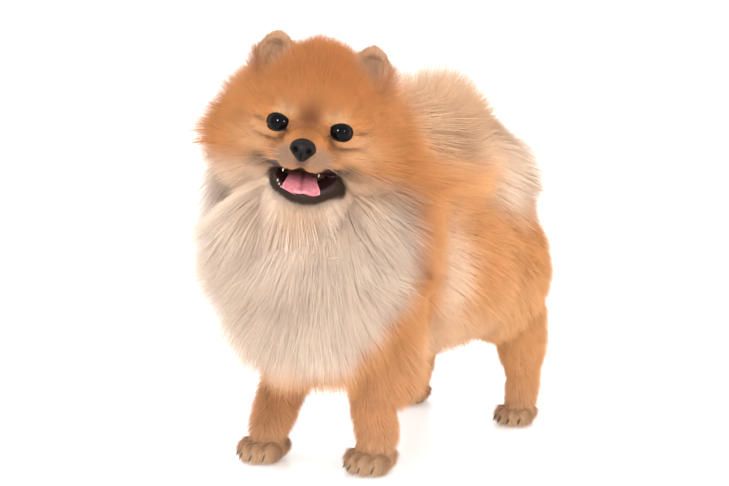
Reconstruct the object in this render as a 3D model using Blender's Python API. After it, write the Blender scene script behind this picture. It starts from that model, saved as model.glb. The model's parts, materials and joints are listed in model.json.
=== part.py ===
"""A pomeranian standing square with its head turned to its left, mouth open.

The flesh, grown by under half of the coat's depth, is one rounded core that
thin cuts part into head, neck, torso, haunches and legs.  Flat tapered locks
stand on the core and reach the outline of the coat.  The animal faces -Y, its
left side is +X, and it stands on z = 0.  Sizes are in millimetres and are
turned to metres by MM.
"""

import math
import random
from dataclasses import dataclass, field

import bmesh
import bpy
from mathutils import Matrix, Vector
from mathutils.bvhtree import BVHTree

MM = 0.001
GAP = 0.3  # between two nodes that meet
HALF_GAP = GAP / 2
REACH = 600.0  # longer than the animal, for cutters
SEED = 11

# Middle of the outline's box, seen from the point midway between the paws.
BOX_MIDDLE = (-2.8, -20.7)

# Stance: the middle of each paw on the floor.
FOREPAW = {"left": (43.5, -86.0), "right": (-41.5, -114.0)}
HINDPAW = {"left": (56.0, 95.0), "right": (-56.0, 95.0)}
FOREPAW_SIZE = (36.0, 42.0, 24.0)
HINDPAW_SIZE = (32.0, 38.0, 21.0)
TOES = ((-0.36, 0.30), (-0.13, 0.44), (0.13, 0.44), (0.36, 0.30))  # shares of width, length
CLAW_LENGTH = 5.5
CLAW_RADIUS = 1.9
SIDES = {"left": 1, "right": -1}

# Head: place of the skull's middle, and how it is turned from straight ahead.
HEAD_PLACE = (7.0, -113.0, 263.0)
HEAD_YAW = 36.0
HEAD_NOD = -3.0
HEAD_TILT = 9.2

# Head sizes, in the head's own frame: x to its left, y to its back, z up.
EYE_PLACE = (21.8, -31.0, 3.0)
EYE_RADIUS = 9.5
EYE_SPLAY = 18.0
LID_RADIUS = 8.6
LID_THICKNESS = 1.7
NOSE_PLACE = (0.0, -66.0, -11.0)
NOSE_RADII = (10.0, 8.0, 8.0)
NOSE_BACK = -62.5
NOSTRIL_PLACE = (4.6, -73.0, -11.5)
NOSTRIL_RADII = (2.0, 3.2, 2.4)
MOUTH_CORNER = (30.0, -26.0, -25.0)
MOUTH_FRONT = -59.0
MOUTH_WIDTH = 34.0
GAPE = 32.0
LIP_THICKNESS = 2.4
JAW_BACK = -18.0
CHIN_FRONT = -53.0
TONGUE_PLACE = (1.0, -40.0, -37.0)
TONGUE_RADII = (11.0, 19.0, 4.0)
UPPER_CANINE = (13.5, -50.0, -24.0)
CANINE_LENGTH = 7.0
TOOTH_RADIUS = 1.3
EAR_PLACE = (36.0, 6.0, 46.0)
EAR_RADII = (16.0, 9.0, 24.0)
EAR_BASE = 38.0
EAR_CUP_PLACE = (37.0, -2.0, 49.0)
EAR_CUP_RADII = (11.0, 8.0, 16.0)
HEAD_BACK = 22.0
THROAT = -58.0

# Heights and lengths at which the legs are parted from the trunk.
FORELEG_TOP = 92.0
FOREPAW_TOP = 22.0
SHANK_TOP = 72.0
HINDPAW_TOP = 20.0
HAUNCH_FRONT = 38.0

# Core and locks: share of the coat's depth that the core fills, and the profile
# along a lock as (share of length, share of width, share of thickness).
CORE_SHARE = 0.45
PLUME_FOOT = 217.0
PLUME_END = -10.0
LOCK_PROFILE = ((0.0, 0.6, 1.0), (0.4, 1.0, 0.8), (0.77, 0.7, 0.45))
LOCK_THICKNESS = 0.17  # share of its width
THINNEST_HALF = 0.6
ROOT_DEPTH = 7.0
ROLL = 0.55  # radians a lock may turn about its own length
TWIST = 0.25  # and along it
STRAY = 0.16  # how far its lie may leave that of the coat
LENGTHS = (0.95, 1.07)  # shares of the way to the outline
WIDTHS = (0.85, 1.15)
BEND_STEPS = 12
ROOT_TRIES = 6000
ACROSS = 0.8  # share of a lock's width between neighbours
EDGE_MARGIN = 3.5  # from a root to the nearest cut
KEPT_TRIANGLES = range(50, 80, 3)  # percent left of a fused coat, the least that is sound
ATTEMPTS = 8  # draws of locks that are tried for a closed coat


@dataclass(frozen=True)
class Form:
    """A rounded mass: an ellipsoid by its centre, half-axes and turn."""

    centre: Vector
    radii: Vector
    turn: Matrix = field(default_factory=lambda: Matrix.Identity(3))

    def grown(self, depth):
        """The same mass with every half-axis longer by depth."""
        return Form(self.centre, self.radii + Vector((depth, depth, depth)), self.turn)

    def span(self, start, direction):
        """Distances at which a ray enters and leaves the mass, or None."""
        back = self.turn.transposed()
        offset = back @ (start - self.centre)
        step = back @ direction
        offset = Vector([a / r for a, r in zip(offset, self.radii)])
        step = Vector([a / r for a, r in zip(step, self.radii)])
        square = step.dot(step)
        middle = -offset.dot(step) / square
        room = middle * middle - (offset.dot(offset) - 1) / square
        if room <= 0:
            return None
        half = math.sqrt(room)
        return middle - half, middle + half


@dataclass(frozen=True)
class Plane:
    """A cut: a point on it and the normal towards the side that is kept."""

    point: Vector
    normal: Vector

    def shifted(self, distance):
        """The same cut moved along its normal."""
        return Plane(self.point + self.normal.normalized() * distance, self.normal)

    def over(self):
        """The same cut, keeping the other side."""
        return Plane(self.point, -self.normal)

    def height(self, point):
        """Distance of a point from the cut, positive on the kept side."""
        return (point - self.point).dot(self.normal.normalized())


@dataclass(frozen=True)
class Region:
    """Where a node may be: on the kept side of cuts and outside convex spaces."""

    kept: tuple = ()
    spaces: tuple = ()

    def steer(self, point, margin):
        """Move a point of a lock back into the region."""
        for plane in self.kept:
            short = margin - plane.height(point)
            if short > 0:
                point = point + plane.normal.normalized() * short
        for space in self.spaces:
            nearest = min(space, key=lambda plane: plane.height(point))
            depth = nearest.height(point) + margin
            if depth > 0:
                point = point - nearest.normal.normalized() * depth
        return point

    def clearance(self, point):
        """How far a point is from the nearest cut or space."""
        heights = [plane.height(point) for plane in self.kept]
        heights += [-min(plane.height(point) for plane in space) for space in self.spaces]
        return min(heights, default=REACH)

    def cutters(self):
        """Blocks that take away all that lies outside the region, gap included."""
        blocks = [block([plane.shifted(HALF_GAP).over()]) for plane in self.kept]
        return blocks + [block([p.shifted(-HALF_GAP) for p in space]) for space in self.spaces]


@dataclass(frozen=True)
class Locks:
    """Sizes of the locks of one node, and how far they stand off and hang."""

    spacing: float
    width: float
    stand: float
    tip_stand: float
    droop: float
    seed: int


@dataclass(frozen=True)
class Coat:
    """Where the locks of one node grow, and which way they lie."""

    outline: tuple
    region: Region
    lie: callable
    locks: Locks
    grows_at: callable = lambda point: True


def head_turn():
    """Rotation from the head's frame to the animal's."""
    yaw = Matrix.Rotation(math.radians(HEAD_YAW), 3, "Z")
    nod = Matrix.Rotation(math.radians(HEAD_NOD), 3, "X")
    tilt = Matrix.Rotation(math.radians(HEAD_TILT), 3, "Y")
    return yaw @ nod @ tilt


HEAD = Matrix.Translation(HEAD_PLACE) @ head_turn().to_4x4()
TONGUE_SLOPE = Matrix.Rotation(math.radians(0.8 * GAPE), 3, "X")


def on_head(x, y, z):
    """A point of the head's frame, in the animal's."""
    return HEAD @ Vector((x, y, z))


def mass(centre, radii):
    """An ellipsoid square to the animal."""
    return Form(Vector(centre), Vector(radii))


def head_mass(centre, radii):
    """An ellipsoid square to the head."""
    return Form(on_head(*centre), Vector(radii), head_turn())


def head_plane(point, normal):
    """A cut given in the head's frame."""
    return Plane(on_head(*point), head_turn() @ Vector(normal))


def level(height, upward=True):
    """A level cut that keeps what lies above it, or below."""
    return Plane(Vector((0, 0, height)), Vector((0, 0, 1 if upward else -1)))


def drum(axis, radii, bottom, top, sides=12):
    """Cuts round an upright prism about an axis (x, y), between two heights."""
    planes = [level(bottom), level(top, False)]
    for i in range(sides):
        angle = math.tau * i / sides
        out = Vector((math.cos(angle), math.sin(angle), 0))
        rim = Vector((axis[0] + radii[0] * out.x, axis[1] + radii[1] * out.y, 0))
        planes.append(Plane(rim, -Vector((out.x / radii[0], out.y / radii[1], 0))))
    return tuple(planes)


# Outline of the coat, mass by mass.
RUFF = mass((-3, -100, 188), (104, 92, 112))
CHEST = mass((0, -98, 128), (84, 84, 68))
NAPE = mass((8, -48, 230), (78, 66, 74))
BACK = mass((0, 22, 150), (86, 110, 86))
RUMP = mass((4, 84, 156), (72, 60, 76))
HAUNCHES = tuple(mass((sign * 43, 88, 128), (42, 52, 64)) for sign in SIDES.values())
CHEEKS = head_mass((0, 16, -16), (93, 58, 62))
CROWN = head_mass((0, 12, 8), (82, 52, 58))
PLUME = mass((4, 30, 235), (64, 70, 62))
PLUME_FALL = mass((38, 72, 206), (50, 62, 46))
PLUME_ROOT = mass((4, 92, 222), (48, 46, 42))

# The flesh of the trunk, each mass or limb with the depth of coat on it.
TRUNK = (
    (mass((0, -44, 150), (46, 70, 50)), 38),
    (mass((0, 40, 162), (40, 60, 42)), 42),
    (mass((0, 82, 162), (38, 38, 38)), 34),
    (mass((34, 86, 134), (28, 34, 46)), 26),
    (mass((-34, 86, 134), (28, 34, 46)), 26),
)
TRUNK_LIMBS = (
    ((((4, -96, 238), 30), ((0, -66, 180), 38)), 62),
    ((((0, 106, 186), 12), ((0, 113, 236), 9)), 14),
    ((((36, -72, 130), 22), ((38, -76, 84), 19)), 12),
    ((((-36, -74, 130), 22), ((-38, -80, 84), 19)), 12),
    ((((47, 98, 104), 22), ((52, 103, 66), 13)), 10),
    ((((-47, 98, 104), 22), ((-52, 103, 66), 13)), 10),
)
TAIL_BONE = (
    ((0, 113, 220), 9),
    ((2, 98, 234), 8),
    ((6, 60, 238), 8),
    ((10, 22, 237), 7),
    ((14, -2, 235), 5),
)
TAIL_COAT = 32

# Skull with cheeks and muzzle, and the lower jaw.
SKULL = (
    head_mass((0, 6, 4), (44, 38, 42)),
    head_mass((0, 20, -6), (52, 36, 44)),
    head_mass((0, -18, 6), (33, 26, 26)),
    head_mass((0, -4, -18), (46, 30, 30)),
    head_mass((0, -36, -10), (24, 24, 16)),
    head_mass((0, -52, -12), (15, 16, 12)),
    head_mass((0, -4, -36), (32, 26, 24)),
)
JAW = (
    head_mass((3, -30, -38), (25, 24, 16)),
    head_mass((4, -41, -44), (16, 14, 10)),
)
JAW_LIP_WIDTH = 24.0
JAW_LIP_BACK = -30.0
JAW_LIP_HEIGHT = -31.0

RUFF_LOCKS = Locks(spacing=13, width=29, stand=0.88, tip_stand=0.55, droop=0.1, seed=1)
TORSO_LOCKS = Locks(spacing=16.5, width=30, stand=0.75, tip_stand=0.42, droop=0.1, seed=2)
HAUNCH_LOCKS = Locks(spacing=16, width=30, stand=0.72, tip_stand=0.4, droop=0.1, seed=3)
PLUME_LOCKS = Locks(spacing=10, width=25, stand=0.6, tip_stand=0.35, droop=0.35, seed=4)
HEAD_LOCKS = Locks(spacing=11.5, width=25, stand=0.75, tip_stand=0.55, droop=0.0, seed=5)

# The cuts between the nodes.
HEAD_NECK = head_plane((0, HEAD_BACK, 0), (0, -1, 0))
HEAD_THROAT = head_plane((0, -30, THROAT), (0, -0.17, 0.985))
TORSO_NECK = Plane(Vector((0, -46, 240)), Vector((0, 0.94, -0.34)))
TAIL_TORSO = Plane(Vector((0, 60, 220)), Vector((0, 0.1, 0.995)))
PLUME_FLANK = Plane(Vector((66, 80, 225)), Vector((0.87, 0, 0.5)))
HAUNCH_TOP = Plane(Vector((0, 62, 165)), Vector((0, 0.66, -0.75)))
HAUNCH_FACE = Plane(Vector((0, HAUNCH_FRONT, 0)), Vector((0, 1, 0)))
MOUTH_ROOF = head_plane(MOUTH_CORNER, (0, -0.05, -1))
MOUTH_FLOOR = head_plane(
    MOUTH_CORNER,
    (0, math.sin(math.radians(GAPE)), -math.cos(math.radians(GAPE))),
)
JAW_FACE = head_plane((0, JAW_BACK, 0), (0, -1, 0))
NOSE_FACE = head_plane((0, NOSE_BACK, 0), (0, 1, 0))
FORELEG_SPACE = {
    side: drum((sign * 40, -80 if side == "left" else -87), (30, 37), 20, FORELEG_TOP)
    for side, sign in SIDES.items()
}
SHANK_SPACE = {
    side: drum((sign * 53.5, 103), (22, 23), 10, SHANK_TOP) for side, sign in SIDES.items()
}


def clear_scene():
    """Remove whatever the new file holds."""
    for item in list(bpy.data.objects):
        bpy.data.objects.remove(item, do_unlink=True)


def add_sphere(bm, form, subdivisions=3):
    """Add an ellipsoid to a bmesh, in metres."""
    made = bmesh.ops.create_icosphere(bm, subdivisions=subdivisions, radius=1.0)
    for vert in made["verts"]:
        vert.co = (form.centre + form.turn @ (form.radii * vert.co)) * MM


def add_tube(bm, path, segments=16):
    """Add a limb: cones between (point, radius) stations with a ball at each."""
    for point, radius in path:
        add_sphere(bm, mass(point, (radius, radius, radius)), 2)
    for (start, first), (end, last) in zip(path, path[1:]):
        axis = Vector(end) - Vector(start)
        place = Matrix.Translation((Vector(start) + Vector(end)) / 2 * MM)
        turn = axis.to_track_quat("Z", "Y").to_matrix().to_4x4()
        bmesh.ops.create_cone(
            bm,
            cap_ends=True,
            segments=segments,
            radius1=first * MM,
            radius2=last * MM,
            depth=axis.length * MM,
            matrix=place @ turn,
        )


def mesh_object(name, bm):
    """Turn a bmesh into an object of the scene."""
    bmesh.ops.recalc_face_normals(bm, faces=bm.faces)
    mesh = bpy.data.meshes.new(name)
    bm.to_mesh(mesh)
    bm.free()
    item = bpy.data.objects.new(name, mesh)
    bpy.context.scene.collection.objects.link(item)
    return item


def settle(item):
    """Apply an object's modifiers to its mesh."""
    graph = bpy.context.evaluated_depsgraph_get()
    mesh = bpy.data.meshes.new_from_object(item.evaluated_get(graph))
    item.modifiers.clear()
    item.data = mesh


def fuse(name, forms=(), tubes=(), voxel=3.5, smooth=5, triangles=1500):
    """Fuse masses and limbs into one smooth closed skin of about so many triangles."""
    bm = bmesh.new()
    for form in forms:
        add_sphere(bm, form)
    for path in tubes:
        add_tube(bm, path)
    item = mesh_object(name, bm)
    remesh = item.modifiers.new("fuse", "REMESH")
    remesh.mode = "VOXEL"
    remesh.voxel_size = voxel * MM
    soften = item.modifiers.new("soften", "SMOOTH")
    soften.factor = 0.5
    soften.iterations = smooth
    settle(item)
    thin = item.modifiers.new("thin", "DECIMATE")
    thin.ratio = min(1.0, triangles / (2 * len(item.data.polygons)))
    settle(item)
    return item


def copy_of(item, name):
    """A second object with its own mesh."""
    twin = bpy.data.objects.new(name, item.data.copy())
    bpy.context.scene.collection.objects.link(twin)
    return twin


def keep_largest(bm):
    """Drop every closed surface but the largest."""
    unseen = set(bm.verts)
    groups = []
    while unseen:
        group = {unseen.pop()}
        front = list(group)
        while front:
            for edge in front.pop().link_edges:
                for vert in edge.verts:
                    if vert in unseen:
                        unseen.discard(vert)
                        group.add(vert)
                        front.append(vert)
        groups.append(group)
    groups.sort(key=len)
    scraps = [vert for group in groups[:-1] for vert in group]
    bmesh.ops.delete(bm, geom=scraps, context="VERTS")


def cut(item, planes):
    """Keep the part of a smooth object on the kept side of every plane."""
    bm = bmesh.new()
    bm.from_mesh(item.data)
    for plane in planes:
        bmesh.ops.bisect_plane(
            bm,
            geom=bm.verts[:] + bm.edges[:] + bm.faces[:],
            dist=1e-7,
            plane_co=plane.point * MM,
            plane_no=plane.normal,
            clear_inner=True,
        )
        rim = [edge for edge in bm.edges if edge.is_boundary]
        bmesh.ops.edgeloop_fill(bm, edges=rim)
    keep_largest(bm)
    bmesh.ops.triangulate(bm, faces=[face for face in bm.faces if len(face.verts) > 4])
    bmesh.ops.recalc_face_normals(bm, faces=bm.faces)
    bm.to_mesh(item.data)
    bm.free()


def block(planes):
    """A cutter: a large block kept on one side of each plane."""
    bm = bmesh.new()
    bmesh.ops.create_cube(bm, size=2 * REACH * MM)
    item = mesh_object("space", bm)
    cut(item, planes)
    return item


def ball(name, form, subdivisions=2):
    """A cutter or a mass of one ellipsoid."""
    bm = bmesh.new()
    add_sphere(bm, form, subdivisions)
    return mesh_object(name, bm)


def combine(item, others, operation, solver="EXACT"):
    """Boolean an object with a list of others, which are then removed."""
    group = bpy.data.collections.new("pieces")
    for other in others:
        group.objects.link(other)
    step = item.modifiers.new("combine", "BOOLEAN")
    step.operation = operation
    step.operand_type = "COLLECTION"
    step.collection = group
    step.solver = solver
    settle(item)
    for other in others:
        bpy.data.objects.remove(other, do_unlink=True)
    bpy.data.collections.remove(group)
    bm = bmesh.new()
    bm.from_mesh(item.data)
    keep_largest(bm)
    bm.to_mesh(item.data)
    bm.free()


def is_sound(mesh):
    """Whether a mesh is closed and crosses itself nowhere."""
    bm = bmesh.new()
    bm.from_mesh(mesh)
    closed = all(len(edge.link_faces) == 2 for edge in bm.edges)
    faces = [set(face.verts) for face in bm.faces]
    tree = BVHTree.FromBMesh(bm)
    crossed = any(a < b and not faces[a] & faces[b] for a, b in tree.overlap(tree))
    bm.free()
    return closed and not crossed


def thin_out(item):
    """Collapse the short edges that fusing left; whether the mesh stayed sound."""
    bm = bmesh.new()
    bm.from_mesh(item.data)
    bmesh.ops.remove_doubles(bm, verts=bm.verts, dist=1e-6)
    bmesh.ops.triangulate(bm, faces=bm.faces)
    bm.to_mesh(item.data)
    bm.free()
    fused = item.data
    for percent in KEPT_TRIANGLES:
        item.data = fused.copy()
        thin = item.modifiers.new("thin", "DECIMATE")
        thin.ratio = percent / 100
        settle(item)
        if is_sound(item.data):
            return True
    return False


def finish_material(name, colour, roughness):
    """A Principled finish from an sRGB hex colour."""
    material = bpy.data.materials.new(name)
    material.use_nodes = True
    shader = material.node_tree.nodes["Principled BSDF"]
    channels = [int(colour[i : i + 2], 16) / 255 for i in (1, 3, 5)]
    linear = [c / 12.92 if c <= 0.04045 else ((c + 0.055) / 1.055) ** 2.4 for c in channels]
    shader.inputs["Base Color"].default_value = (*linear, 1.0)
    shader.inputs["Roughness"].default_value = roughness
    shader.inputs["Metallic"].default_value = 0.0
    return material


def place_node(item, stance, colour, roughness=0.8):
    """Give a finished node its material, its shading and its parent."""
    item.data.materials.clear()
    item.data.materials.append(finish_material(item.name, colour, roughness))
    item.data.shade_smooth()
    item.data.set_sharp_from_angle(angle=math.radians(50))
    item.parent = stance


def reach(outline, start, direction):
    """How far a ray runs from inside the outline to where it leaves it."""
    spans = [span for form in outline if (span := form.span(start, direction))]
    end = 0.0
    for near, far in sorted(spans):
        if near <= end:
            end = max(end, far)
    return end


def spread_roots(item, coat, draw):
    """Places for locks on a core, evenly spread, as (point, normal) pairs."""
    faces = list(item.data.polygons)
    areas = [face.area for face in faces]
    verts = item.data.vertices
    locks = coat.locks
    roots = []
    for face in draw.choices(faces, areas, k=ROOT_TRIES):
        corners = [verts[i].co for i in face.vertices[:3]]
        u, v = sorted((draw.random(), draw.random()))
        point = (corners[0] * u + corners[1] * (v - u) + corners[2] * (1 - v)) / MM
        normal = face.normal
        lie = coat.lie(point)
        lie = (lie - normal * lie.dot(normal)).normalized()
        side = normal.cross(lie)
        crowded = False
        for other, _ in roots:
            gap = point - other
            along = gap.dot(lie) / locks.spacing
            across = gap.dot(side) / (locks.width * ACROSS)
            if along * along + across * across < 1 and gap.length < 2 * locks.spacing:
                crowded = True
                break
        if crowded or coat.region.clearance(point) < EDGE_MARGIN or not coat.grows_at(point):
            continue
        roots.append((point, face.normal.copy()))
    return roots


def bend(first, last):
    """Course of a lock of length one that turns from one direction to another."""
    course = [Vector((0, 0, 0))]
    for i in range(BEND_STEPS):
        step = first.lerp(last, (i + 0.5) / BEND_STEPS)
        course.append(course[-1] + step.normalized() / BEND_STEPS)
    return course


def lock(point, normal, coat, draw):
    """One flat tapered lock from a root on the core to the outline of the coat."""
    locks = coat.locks
    lie = coat.lie(point) + Vector([draw.uniform(-STRAY, STRAY) for _ in range(3)])
    lie = (lie - normal * lie.dot(normal)).normalized()
    first = (normal * locks.stand + lie * (1 - locks.stand)).normalized()
    last = normal * locks.tip_stand + lie * (1 - locks.tip_stand)
    last = (last - Vector((0, 0, locks.droop))).normalized()
    course = bend(first, last)
    chord = course[-1]
    length = reach(coat.outline, point, chord.normalized()) / chord.length * draw.uniform(*LENGTHS)
    roll = Matrix.Rotation(draw.uniform(-ROLL, ROLL), 3, first)
    across = roll @ normal.cross(lie).normalized()
    width = locks.width * draw.uniform(*WIDTHS)
    twist = draw.uniform(-TWIST, TWIST)
    start = point - normal * ROOT_DEPTH
    bm = bmesh.new()
    rings = []
    for share, broad, thick in LOCK_PROFILE:
        place = start + course[round(share * BEND_STEPS)] * length + normal * ROOT_DEPTH * share
        half = broad * width / 2
        depth = max(thick * width * LOCK_THICKNESS / 2, THINNEST_HALF)
        if share > 0:
            place = coat.region.steer(place, depth + HALF_GAP)
        ahead = first.lerp(last, share).normalized()
        side = (across + ahead.cross(across) * twist * share).normalized()
        out = side.cross(ahead).normalized()
        offsets = (side * half, out * depth, -side * half, -out * depth)
        rings.append([bm.verts.new((place + offset) * MM) for offset in offsets])
    end = coat.region.steer(start + chord * length + normal * ROOT_DEPTH, THINNEST_HALF)
    tip = bm.verts.new(end * MM)
    bm.faces.new(rings[0])
    for lower, upper in zip(rings, rings[1:]):
        for i in range(4):
            j = (i + 1) % 4
            bm.faces.new((lower[i], lower[j], upper[j]))
            bm.faces.new((lower[i], upper[j], upper[i]))
    for i in range(4):
        bm.faces.new((rings[-1][i], rings[-1][(i + 1) % 4], tip))
    return mesh_object("lock", bm)


def grow(item, coat):
    """Fuse a coat of locks onto a core and trim it to its region."""
    bare = item.data
    for attempt in range(ATTEMPTS):
        item.data = bare.copy()
        draw = random.Random(SEED + coat.locks.seed + 10 * attempt)
        roots = spread_roots(item, coat, draw)
        locks = [lock(point, normal, coat, draw) for point, normal in roots]
        combine(item, locks, "UNION", "MANIFOLD")
        combine(item, coat.region.cutters(), "DIFFERENCE", "MANIFOLD")
        if thin_out(item):
            return


def core(forms, share=CORE_SHARE):
    """Flesh masses grown by a share of the depth of their coat."""
    return [form.grown(share * depth) for form, depth in forms]


def core_limbs(limbs, share=CORE_SHARE):
    """Limbs grown by a share of the depth of their coat."""
    return [[(point, radius + share * depth) for point, radius in path] for path, depth in limbs]


def flow(x, y, z):
    """A lie that is the same all over a node."""
    lie = Vector((x, y, z))
    return lambda point: lie


def away_from_nose(point):
    """The lie on the head: back from the nose."""
    return (point - on_head(*NOSE_PLACE)).normalized()


def below_plume(point):
    """Whether long coat grows at a point of the torso: not under the tail."""
    return point.z < PLUME_FOOT or point.y < PLUME_END


def off_tail(point):
    """The lie on the tail: out to both sides, back and down."""
    return Vector((point.x / 33, 0.55, -0.35))


def build_trunk(stance):
    """Neck, torso, haunches and tail."""
    whole = fuse("body", core(TRUNK), core_limbs(TRUNK_LIMBS), voxel=5.0, triangles=1300)
    head_space = (HEAD_NECK, HEAD_THROAT)
    leg_spaces = tuple(FORELEG_SPACE.values())

    neck = copy_of(whole, "neck_ruff")
    region = Region((TORSO_NECK.over(),), (head_space, *leg_spaces))
    grow(neck, Coat((RUFF, CHEST, NAPE), region, flow(0, 0.4, -0.8), RUFF_LOCKS))
    place_node(neck, stance, "#E8D2BE")

    torso = copy_of(whole, "torso")
    kept = (TORSO_NECK, TAIL_TORSO.over(), PLUME_FLANK.over())
    region = Region(kept, ((HAUNCH_TOP, HAUNCH_FACE), *leg_spaces))
    outline = (BACK, RUMP, RUFF, CHEST, NAPE)
    grow(torso, Coat(outline, region, flow(0, 0.85, -0.55), TORSO_LOCKS, below_plume))
    place_node(torso, stance, "#D4935A")

    for side, sign in SIDES.items():
        haunch = copy_of(whole, f"haunch_{side}")
        middle = Plane(Vector((0, 0, 0)), Vector((sign, 0, 0)))
        kept = (HAUNCH_TOP, HAUNCH_FACE, middle, PLUME_FLANK.over(), TAIL_TORSO.over())
        region = Region(kept, (SHANK_SPACE[side],))
        outline = (BACK, RUMP, *HAUNCHES)
        grow(haunch, Coat(outline, region, flow(0, 0.45, -0.9), HAUNCH_LOCKS))
        place_node(haunch, stance, "#DFA26A")
    bpy.data.objects.remove(whole, do_unlink=True)

    tail = fuse("tail", (), core_limbs([(TAIL_BONE, TAIL_COAT)]), voxel=4.0, triangles=320)
    region = Region((TORSO_NECK,), ((TAIL_TORSO.over(), PLUME_FLANK.over()),))
    grow(tail, Coat((PLUME, PLUME_FALL, PLUME_ROOT), region, off_tail, PLUME_LOCKS))
    place_node(tail, stance, "#F0E2D2")


def foreleg_path(side):
    """Stations of a foreleg from inside the chest to the paw."""
    x, y = FOREPAW[side]
    sign = SIDES[side]
    return [
        ((sign * 38, -78, 105), 24.5),
        ((sign * 41, -80, 80), 22),
        ((sign * 41, (y - 80) / 2, 52), 16.5),
        ((x, y + 5, 28), 15.5),
        ((x, y + 1, 14), 14),
    ]


def hindleg_path(side):
    """Stations of a hind leg from inside the haunch to the paw."""
    x, y = HINDPAW[side]
    sign = SIDES[side]
    return [
        ((sign * 50, 100, 90), 20),
        ((sign * 53, 103, 66), 16.5),
        ((sign * 55, 103, 42), 14.5),
        ((x, y + 5, 22), 13.5),
        ((x, y + 2, 12), 12),
    ]


def paw_forms(centre, size):
    """Pad and four toes of a paw, toes to the front."""
    x, y = centre
    width, length, height = size
    forms = [mass((x, y + 3, height * 0.45), (width * 0.46, length * 0.42, height * 0.5))]
    for place, forward in TOES:
        toe = (x + place * width, y - forward * length + 4, height * 0.36)
        forms.append(mass(toe, (width * 0.17, length * 0.24, height * 0.42)))
    return forms


def claws(centre, size):
    """Four short claws in front of the toes, clear of the floor."""
    x, y = centre
    width, length, height = size
    pieces = []
    for place, forward in TOES:
        root = Vector((x + place * width, y - forward * length - 2, height * 0.42))
        tip = root + Vector((place * 2, -CLAW_LENGTH, -height * 0.2))
        bm = bmesh.new()
        axis = tip - root
        turn = axis.to_track_quat("Z", "Y").to_matrix().to_4x4()
        bmesh.ops.create_cone(
            bm,
            cap_ends=True,
            segments=5,
            radius1=CLAW_RADIUS * MM,
            radius2=CLAW_RADIUS / 4 * MM,
            depth=axis.length * MM,
            matrix=Matrix.Translation((root + tip) / 2 * MM) @ turn,
        )
        pieces.append(mesh_object("claw", bm))
    return pieces


def build_legs(stance):
    """Forelegs, shanks and paws on flat soles."""
    limbs = (
        ("foreleg", "forepaw", foreleg_path, FOREPAW, FOREPAW_SIZE, FORELEG_TOP, FOREPAW_TOP),
        ("shank", "hindpaw", hindleg_path, HINDPAW, HINDPAW_SIZE, SHANK_TOP, HINDPAW_TOP),
    )
    for leg_name, paw_name, path, places, size, top, paw_top in limbs:
        for side in SIDES:
            forms = paw_forms(places[side], size)
            whole = fuse("limb", forms, [path(side)], voxel=2.4, smooth=3, triangles=460)
            leg = copy_of(whole, f"{leg_name}_{side}")
            cut(leg, [level(paw_top + HALF_GAP), level(top - HALF_GAP, False)])
            place_node(leg, stance, "#D09A63")
            paw = copy_of(whole, f"{paw_name}_{side}")
            cut(paw, [level(0), level(paw_top - HALF_GAP, False)])
            combine(paw, claws(places[side], size), "UNION")
            place_node(paw, stance, "#B89878")
            bpy.data.objects.remove(whole, do_unlink=True)


def bent_tube(name, points, radius, sides=5):
    """A rod along points that thins to both ends."""
    bm = bmesh.new()
    rings = []
    for i, point in enumerate(points):
        before = points[max(i - 1, 0)]
        after = points[min(i + 1, len(points) - 1)]
        turn = (after - before).to_track_quat("Z", "Y")
        share = i / (len(points) - 1)
        size = radius * (0.55 + 0.45 * math.sin(math.pi * share))
        ring = []
        for k in range(sides):
            angle = math.tau * k / sides
            rim = turn @ Vector((math.cos(angle) * size, math.sin(angle) * size, 0))
            ring.append(bm.verts.new((point + rim) * MM))
        rings.append(ring)
    bm.faces.new(rings[0])
    bm.faces.new(rings[-1])
    for lower, upper in zip(rings, rings[1:]):
        for i in range(sides):
            j = (i + 1) % sides
            bm.faces.new((lower[i], lower[j], upper[j]))
            bm.faces.new((lower[i], upper[j], upper[i]))
    return mesh_object(name, bm)


def lids(side):
    """Upper and lower lid as rods round the front of an eye."""
    sign = SIDES[side]
    middle = Vector((sign * EYE_PLACE[0], *EYE_PLACE[1:]))
    turn = Matrix.Rotation(math.radians(sign * EYE_SPLAY), 3, "Z")
    pieces = []
    for start, end in ((-15, 195), (-195, 15)):
        points = []
        for i in range(9):
            angle = math.radians(start + (end - start) * i / 8)
            flat = Vector((math.cos(angle) * LID_RADIUS, -4.9, math.sin(angle) * LID_RADIUS * 0.92))
            points.append(HEAD @ (middle + turn @ flat))
        pieces.append(bent_tube("lid", points, LID_THICKNESS))
    return pieces


def mouth_line(half_width, back, front, height, drop, count=13):
    """Points along a lip from one corner round the front to the other."""
    points = []
    for i in range(count):
        angle = math.pi * (i / (count - 1) - 0.5)
        forward = math.cos(angle) ** 0.8 if abs(angle) < math.pi / 2 - 0.01 else 0.0
        x = half_width * math.sin(angle)
        points.append(on_head(x, back + (front - back) * forward, height - drop * forward))
    return points


def canines():
    """The two upper canines."""
    pieces = []
    for sign in SIDES.values():
        x, y, z = UPPER_CANINE
        matrix = HEAD @ Matrix.Translation((sign * x, y, z - CANINE_LENGTH / 2))
        matrix.translation *= MM
        bm = bmesh.new()
        bmesh.ops.create_cone(
            bm,
            cap_ends=True,
            segments=5,
            radius1=TOOTH_RADIUS / 3 * MM,
            radius2=TOOTH_RADIUS * MM,
            depth=CANINE_LENGTH * MM,
            matrix=matrix,
        )
        pieces.append(mesh_object("tooth", bm))
    return pieces


def ear_space(side):
    """Cuts round the space of an ear."""
    sign = SIDES[side]
    x, y, _ = EAR_PLACE
    planes = drum((sign * x, y), (EAR_RADII[0] + 1, EAR_RADII[1] + 2), EAR_BASE, EAR_BASE + 60)
    return tuple(Plane(HEAD @ plane.point, head_turn() @ plane.normal) for plane in planes)


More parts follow.
